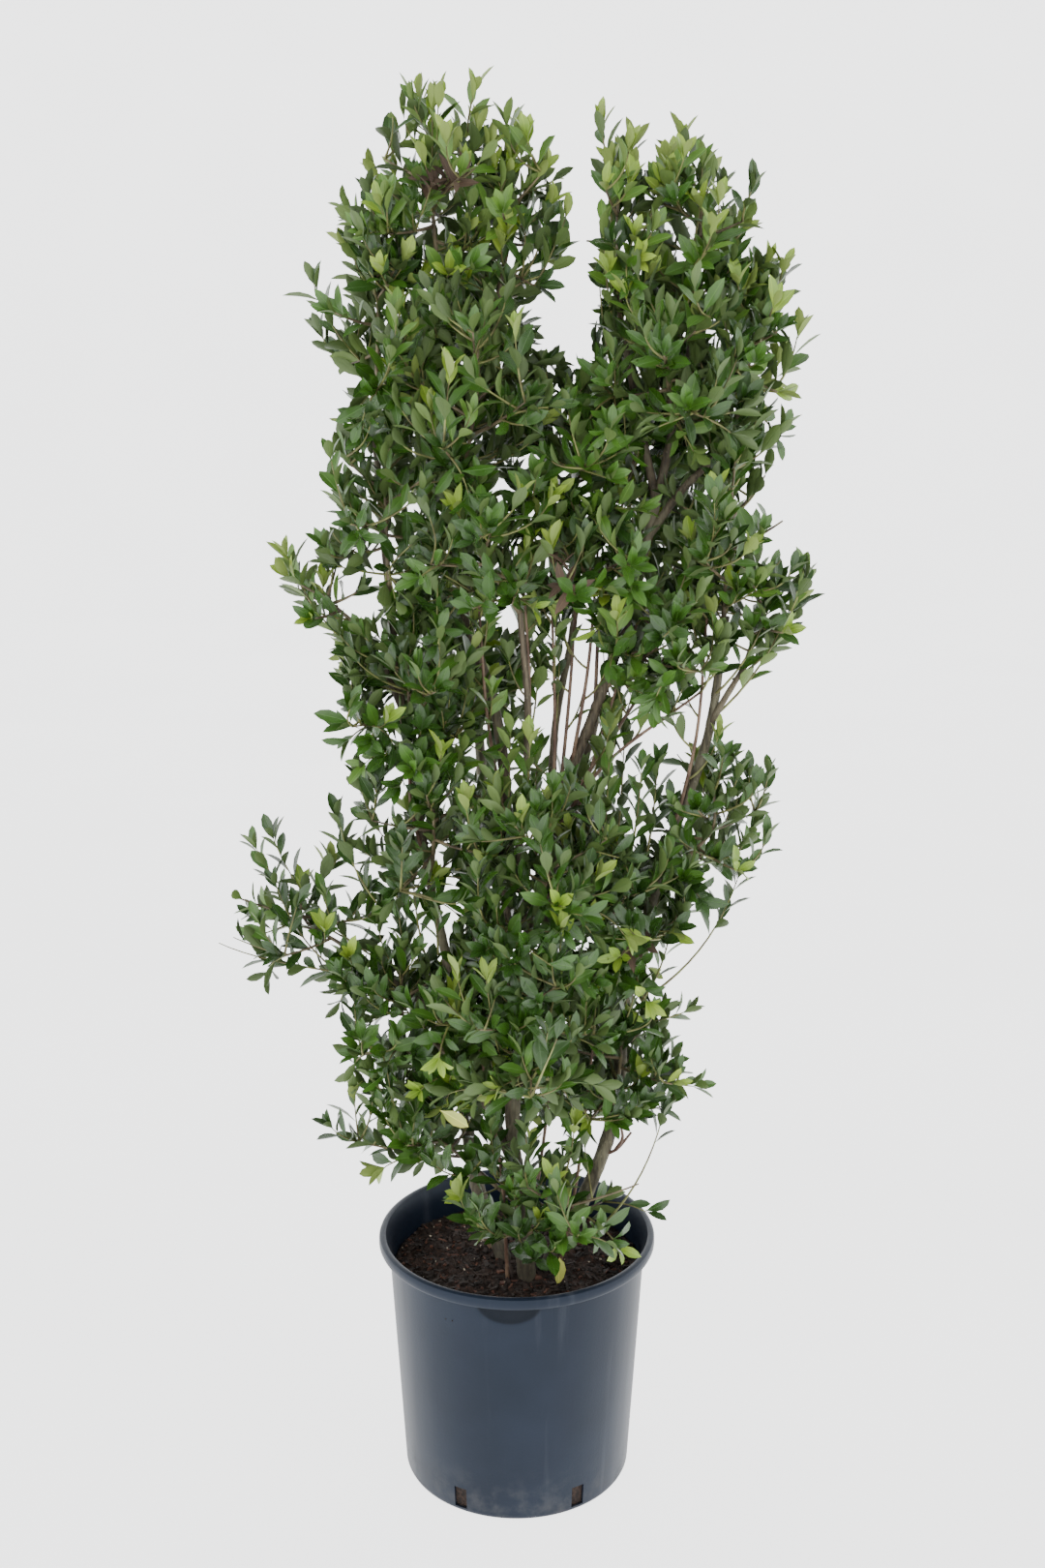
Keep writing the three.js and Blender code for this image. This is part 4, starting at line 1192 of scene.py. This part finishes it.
def pot_material():
    """Satin black plastic with faint upright scuffs, a little dust and painted shade in the dent
    under the rim.
    """
    surface = Surface("pot_plastic", Specular_IOR_Level=0.17, Specular_Tint=(0.80, 0.90, 1.0))
    scuffs = surface.noise(38, 5, (1, 1, 0.05))
    cloud = surface.noise(7, 3)
    height = surface.axis("Z")
    low_dust = (1 - height.ramp(0.0, 0.075)) * surface.noise(46, 5).ramp(0.42, 0.75)
    base = surface.mix(cloud.ramp(0.3, 0.75), (0.0042, 0.0068, 0.0135), (0.0070, 0.0108, 0.0200))
    base = surface.mix(scuffs.ramp(0.56, 0.78) * 0.26, base, (0.062, 0.068, 0.08))
    base = surface.mix(low_dust * 0.24, base, (0.11, 0.105, 0.1))
    # Painted shade: the half-round dent under the rim at the front is darkened towards black.
    across = (surface.axis("X") - SCOOP_MIDDLE * MM) / (SCOOP_HALF_WIDTH * MM)
    down = (WALL_TOP * MM - height) / (SCOOP_HEIGHT * MM)
    dent_shade = 1 - (across * across + down * down).ramp(0.82, 1.08)
    dent_shade = dent_shade * down.above(0) * (1 - surface.axis("Y").above(0))
    surface.set("Base Color", surface.mix(dent_shade * 0.7, base, (0.0012, 0.0014, 0.0022)))
    surface.set("Roughness", 0.34 + scuffs * 0.14 + low_dust * 0.2 + dent_shade * 0.3)
    surface.bump(surface.noise(420, 2) + scuffs * 2, 0.0004, 0.22)
    return surface.material


def soil_material():
    """Dark moist crumbs with redder patches."""
    surface = Surface("compost", Specular_IOR_Level=0.25, Roughness=0.93)
    crumbs = surface.noise(240, 6)
    red = surface.noise(34, 3).ramp(0.5, 0.75) * 0.6
    base = surface.mix(crumbs.ramp(0.35, 0.7), (0.007, 0.0042, 0.003), (0.030, 0.017, 0.012))
    surface.set("Base Color", surface.mix(red, base, (0.042, 0.021, 0.014)))
    surface.bump(crumbs, 0.003, 0.8)
    return surface.material


def scrap_material(name, dark, pale):
    """A rough chip or grain."""
    surface = Surface(name, Specular_IOR_Level=0.3)
    grain = surface.noise(520, 4)
    surface.set("Base Color", surface.mix(surface.noise(60, 2).ramp(0.3, 0.7), dark, pale))
    surface.set("Roughness", 0.7 + grain * 0.25)
    surface.bump(grain, 0.0008, 0.6)
    return surface.material


def bark_material(name, dark, middle, pale):
    """Bark with a fine upright grain, pale patches, small pale pores and painted shade at its foot.
    """
    surface = Surface(name, Specular_IOR_Level=0.35)
    grain = surface.noise(310, 5, (1, 1, 0.13))
    patches = surface.noise(42, 4, (1, 1, 0.4))
    pores = surface.add("ShaderNodeTexVoronoi", values={
        "Vector": surface.place((1, 1, 0.55)), "Scale": 230}, output="Distance")
    base = surface.mix(grain.ramp(0.34, 0.68), dark, middle)
    base = surface.mix(patches.ramp(0.45, 0.72) * 0.75, base, pale)
    pores = 1 - pores.ramp(0.1, 0.22)
    # Painted shade: the bark darkens towards the compost, where the low foliage shades it.
    foot_shade = (1 - surface.axis("Z").ramp(0.25, 0.33)) * 0.65
    base = surface.mix(pores * 0.5, base, pale)
    surface.set("Base Color", surface.mix(foot_shade, base, (0.018, 0.013, 0.008)))
    surface.set("Roughness", 0.62 + grain * 0.28)
    surface.bump(grain - pores * 0.3, 0.0011, 0.7)
    return surface.material


def twig_material(name, dark, pale):
    """The thin bark of twigs and shoots."""
    surface = Surface(name, Specular_IOR_Level=0.4, Roughness=0.6)
    surface.set("Base Color", surface.mix(surface.noise(55, 3).ramp(0.35, 0.7), dark, pale))
    surface.bump(surface.noise(700, 2, (1, 1, 0.3)), 0.0004, 0.4)
    return surface.material


def leaf_material(name, upper, edge, under, roughness):
    """A glossy leaf with a pale midrib, faint side veins and a paler matt underside."""
    surface = Surface(name, Specular_IOR_Level=0.45)
    uv = surface.add("ShaderNodeUVMap", {"uv_map": "leaf"})
    across, along = surface.axis("X", uv), surface.axis("Y", uv)
    below = across.above(1.5)
    off_middle = abs(across - below * 2 - 0.5)
    rib = 1 - off_middle.ramp(0.012, 0.05)
    veins = ((along + off_middle * 0.55) * 88).math("SINE").ramp(0.55, 1.0) * (1 - rib)
    patch = surface.noise(26, 2).ramp(0.3, 0.72)
    base = surface.mix(patch, upper, edge)
    base = surface.mix(rib * 0.4 + veins * 0.1, base, tuple(min(1, value * 1.9) for value in edge))
    surface.set("Base Color", surface.mix(below, base, under))
    surface.set("Roughness", roughness + below * 0.22 + patch * 0.06)
    surface.bump(veins * 0.5 - rib, 0.0005, 0.5)
    return surface.material


def stage_material(name, colour, glow):
    """A pale surface that gives off most of its light itself, so it takes only faint shadows."""
    surface = Surface(name, Specular_IOR_Level=0.1, Roughness=0.9, Emission_Strength=glow)
    share = surface.noise(1.3, 2).ramp(0.3, 0.7)
    surface.set("Base Color", surface.mix(share, (0.22, 0.22, 0.22), (0.21, 0.21, 0.21)))
    surface.set("Emission Color", surface.mix(share, colour, tuple(0.98 * part for part in colour)))
    return surface.material


# Settings
class PotSettings(bpy.types.PropertyGroup):
    columns: IntProperty(name="Columns", description="Faces round the pot, a multiple of 216",
                         default=216, min=216)
    rows: IntProperty(name="Rows", description="Rows of faces up the wall", default=14, min=4)


class CompostSettings(bpy.types.PropertyGroup):
    lumps: FloatProperty(name="Lumps", description="Height of the lumps in mm", default=6.0, min=0)
    chips: IntProperty(name="Chips", description="Bark chips on the compost", default=1900, min=5)
    grains: IntProperty(name="Grains", description="Pale grains on the compost", default=70, min=1)


class LimbSettings(bpy.types.PropertyGroup):
    sides: IntProperty(name="Sides", description="Faces round a stem", default=20, min=6)
    step: FloatProperty(name="Step", description="Length of a face along a stem in mm",
                        default=4.5, min=1)
    relief: FloatProperty(name="Relief", description="Bark relief as a share of the radius",
                          default=0.09, min=0, subtype="FACTOR")


class FoliageSettings(bpy.types.PropertyGroup):
    shoot_volume: FloatProperty(name="Volume a shoot", default=36000, min=10000,
                                description="Space of a mass, in cubic mm, that has one shoot")
    overlap: FloatProperty(name="Overlap", default=16, min=0,
                           description="How far in mm shoots pass into the next mass")
    leaf_length: FloatProperty(name="Leaf length", description="In mm", default=36, min=5)
    leaf_width: FloatProperty(name="Leaf width", description="In mm", default=13.6, min=2)
    leaf_spacing: FloatProperty(name="Leaf spacing", description="Along a shoot, in mm",
                                default=8.5, min=2)


class StageSettings(bpy.types.PropertyGroup):
    key: FloatProperty(name="Key light", description="Power of the large soft light", default=36,
                       min=0, subtype="POWER")
    ambient: FloatProperty(name="Ambient", description="Strength of the light all round",
                           default=0.3, min=0)
    glow: FloatProperty(name="Glow", description="Light given off by the pale backdrop",
                        default=3.2, min=0)


# Operators
class SHRUB_OT_pot(bpy.types.Operator):
    """Make the pot"""

    bl_idname = "shrub.pot"
    bl_label = "Pot"

    def execute(self, context):
        settings = context.scene.shrub_pot
        bm = spun(pot_profile(settings.rows), settings.columns, SLOT_FIRST_ANGLE + SLOT_HALF_TURN)
        press_scoop(bm)
        cut_slots(bm)
        stands_for(from_bmesh("pot_shell", bm, pot_material()), ["pot"])
        return {"FINISHED"}


class SHRUB_OT_compost(bpy.types.Operator):
    """Make the compost with the chips and grains that lie on it"""

    bl_idname = "shrub.compost"
    bl_label = "Compost"

    def execute(self, context):
        settings = context.scene.shrub_compost
        edge = SOIL_TOP - SOIL_EDGE_DROP
        side = [FLOOR_THICKNESS + SOIL_GAP, SOIL_MIDDLE, edge]
        side = [(wall_radius(height) - WALL_THICKNESS - SOIL_GAP, height) for height in side]
        top = np.linspace(side[-1][0] - SOIL_EDGE_STEP, 0, SOIL_RINGS)
        bm = spun([(0, side[0][1]), *side, *[(radius, SOIL_TOP) for radius in top]], SOIL_COLUMNS)
        for vert in bm.verts:
            x, y, z = (value / MM for value in vert.co)
            if z > edge + 1:
                vert.co.z = soil_height(x, y, settings.lumps) * MM
        stands_for(from_bmesh("compost", bm, soil_material(), 180), ["soil"])
        chance = np.random.default_rng(SOIL_SEED)
        counts = [settings.chips, settings.chips // 5, settings.grains]
        for count, (name, material, low, high, lift, dark, pale) in zip(counts, HEAPS):
            arrays = scraps(count, spot(low), spot(high), chance, settings.lumps, lift)
            heap = from_arrays(name, *arrays, scrap_material(material, dark, pale), smooth=False)
            stands_for(heap, ["soil"])
        return {"FINISHED"}


class SHRUB_OT_limbs(bpy.types.Operator):
    """Make the stems and boughs with their bark"""

    bl_idname = "shrub.limbs"
    bl_label = "Stems and boughs"

    def execute(self, context):
        settings = context.scene.shrub_limbs
        limbs, _ = plant_frame()
        first_seed, seed_step = BARK_SEEDS
        sides = {"stem": settings.sides, "bough": round(settings.sides * BOUGH_SIDES_SHARE)}
        for kind, colours in BARK_LOOKS.items():
            bm = bmesh.new()
            chosen = [limb for limb in limbs if limb.startswith(kind)]
            for rank, limb in enumerate(chosen):
                bark_limb(bm, limbs[limb], sides[kind], settings.step, settings.relief,
                          first_seed + seed_step * rank)
            bark = bark_material("bark_" + kind, *colours)
            stands_for(from_bmesh(kind + "s", bm, bark, 60), chosen)
        return {"FINISHED"}


class SHRUB_OT_twigs(bpy.types.Operator):
    """Make the twigs and the green shoots that bear the leaves"""

    bl_idname = "shrub.twigs"
    bl_label = "Twigs"

    def execute(self, context):
        grown = crown(context.scene.shrub_foliage)
        shares = np.linspace(0, 1, THIN_STEM_SPOTS)
        thin = [(Curve(places, THIN_STEM_RADII).at(shares), *THIN_STEM_RADII)
                for places in LOW_THIN_STEMS + HIGH_THIN_STEMS]
        lines = {"twigs": grown.wood, "shoots": grown.shoots, "thin_stems": thin}
        for name, (sides, dark, pale) in TWIG_LOOKS.items():
            bark = twig_material(name, dark, pale)
            shape = from_arrays(name, *tubes(lines[name], sides), bark)
            stands_for(shape, MASS_NODES)
        return {"FINISHED"}


class SHRUB_OT_leaves(bpy.types.Operator):
    """Make the leaves, in pieces of one tint each"""

    bl_idname = "shrub.leaves"
    bl_label = "Leaves"

    def execute(self, context):
        each = len(leaf_template()[1])
        for tint, leaves in crown(context.scene.shrub_foliage).leaves.items():
            material = leaf_material("leaf_" + tint, *LEAF_LOOKS[tint])
            parts = math.ceil(len(leaves) * each / MOST_TRIANGLES)
            for part in range(parts):
                spots, faces, uvs = leaf_arrays(leaves[part::parts])
                name = f"leaves_{tint}_{part + 1}" if parts > 1 else "leaves_" + tint
                stands_for(from_arrays(name, spots, faces, material, uvs), MASS_NODES)
        return {"FINISHED"}


class SHRUB_OT_loose_leaves(bpy.types.Operator):
    """Make the leaf that has fallen on the compost and the yellow leaf low in the crown"""

    bl_idname = "shrub.loose_leaves"
    bl_label = "Loose leaves"

    def execute(self, context):
        material = leaf_material("leaf_yellow", *YELLOW_LOOK)
        for name, slot, node, root, along, face in LOOSE_LEAVES:
            along = unit(along)
            face = unit(face - along * (spot(face) @ along))
            spots, faces, uvs = leaf_arrays([(spot(root), along, face, *LOOSE_LEAF_SIZE)])
            stands_for(from_arrays(name, spots, faces, material, uvs), [node])
        return {"FINISHED"}


class SHRUB_OT_stage(bpy.types.Operator):
    """Make the pale floor with the curved backdrop all round it, the soft lights and the camera"""

    bl_idname = "shrub.stage"
    bl_label = "Stage"

    def execute(self, context):
        settings = context.scene.shrub_stage
        turns = np.linspace(0, math.pi / 2, STAGE_BEND_ROWS)
        radii = STAGE_RADIUS * (1 - STAGE_BEND + STAGE_BEND * np.sin(turns))
        heights = STAGE_RADIUS * STAGE_BEND * (1 - np.cos(turns))
        profile = [*[(STAGE_RADIUS * share, 0) for share in STAGE_FLAT], *zip(radii, heights)]
        bm = spun([*profile, (STAGE_RADIUS, STAGE_RADIUS)], STAGE_COLUMNS)
        material = stage_material("stage", STAGE_COLOUR, settings.glow)
        from_bmesh("backdrop", bm, material, 180)
        world = bpy.data.worlds.new("room")
        world.use_nodes = True
        shade = world.node_tree.nodes["Background"]
        shade.inputs["Color"].default_value = ROOM_COLOUR
        shade.inputs["Strength"].default_value = settings.ambient
        context.scene.world = world
        for name, place, size, share in LIGHTS:
            light = bpy.data.lights.new(name, "AREA")
            light.shape, light.size, light.energy = "SQUARE", size, settings.key * share
            lamp = bpy.data.objects.new(name, light)
            lamp.location = place
            aim = Vector(LIGHTS_AIM) - Vector(place)
            lamp.rotation_euler = aim.to_track_quat("-Z", "Y").to_euler()
            context.scene.collection.objects.link(lamp)
        lens = bpy.data.cameras.new("camera")
        lens.lens, lens.sensor_width, lens.clip_start = LENS, SENSOR_WIDTH, CLIP_START
        camera = bpy.data.objects.new("camera", lens)
        camera.location = CAMERA_PLACE
        camera.rotation_euler = (math.radians(CAMERA_TILT), 0, 0)
        context.scene.collection.objects.link(camera)
        context.scene.camera = camera
        return {"FINISHED"}


class SHRUB_PT_panel(bpy.types.Panel):
    """The shrub's settings and its operators"""

    bl_label = "Potted shrub"
    bl_idname = "SHRUB_PT_panel"
    bl_space_type = "VIEW_3D"
    bl_region_type = "UI"
    bl_category = "Shrub"

    def draw(self, context):
        for name, (group, operators) in PARTS.items():
            box = self.layout.box()
            for key in group.__annotations__:
                box.prop(getattr(context.scene, name), key)
            for operator in operators:
                box.operator(operator.bl_idname)


PARTS = {
    "shrub_pot": (PotSettings, [SHRUB_OT_pot]),
    "shrub_compost": (CompostSettings, [SHRUB_OT_compost]),
    "shrub_limbs": (LimbSettings, [SHRUB_OT_limbs]),
    "shrub_foliage": (FoliageSettings, [SHRUB_OT_twigs, SHRUB_OT_leaves, SHRUB_OT_loose_leaves]),
    "shrub_stage": (StageSettings, [SHRUB_OT_stage]),
}
CLASSES = [cls for group, operators in PARTS.values() for cls in (group, *operators)]
CLASSES.append(SHRUB_PT_panel)


def register():
    for cls in CLASSES:
        bpy.utils.register_class(cls)
    for name, (group, _) in PARTS.items():
        setattr(bpy.types.Scene, name, PointerProperty(type=group))


def unregister():
    for name in PARTS:
        delattr(bpy.types.Scene, name)
    for cls in reversed(CLASSES):
        bpy.utils.unregister_class(cls)


def main():
    register()
    bpy.ops.shrub.pot()
    bpy.ops.shrub.compost()
    bpy.ops.shrub.limbs()
    bpy.ops.shrub.twigs()
    bpy.ops.shrub.leaves()
    bpy.ops.shrub.loose_leaves()
    bpy.ops.shrub.stage()


if __name__ == "__main__":
    main()
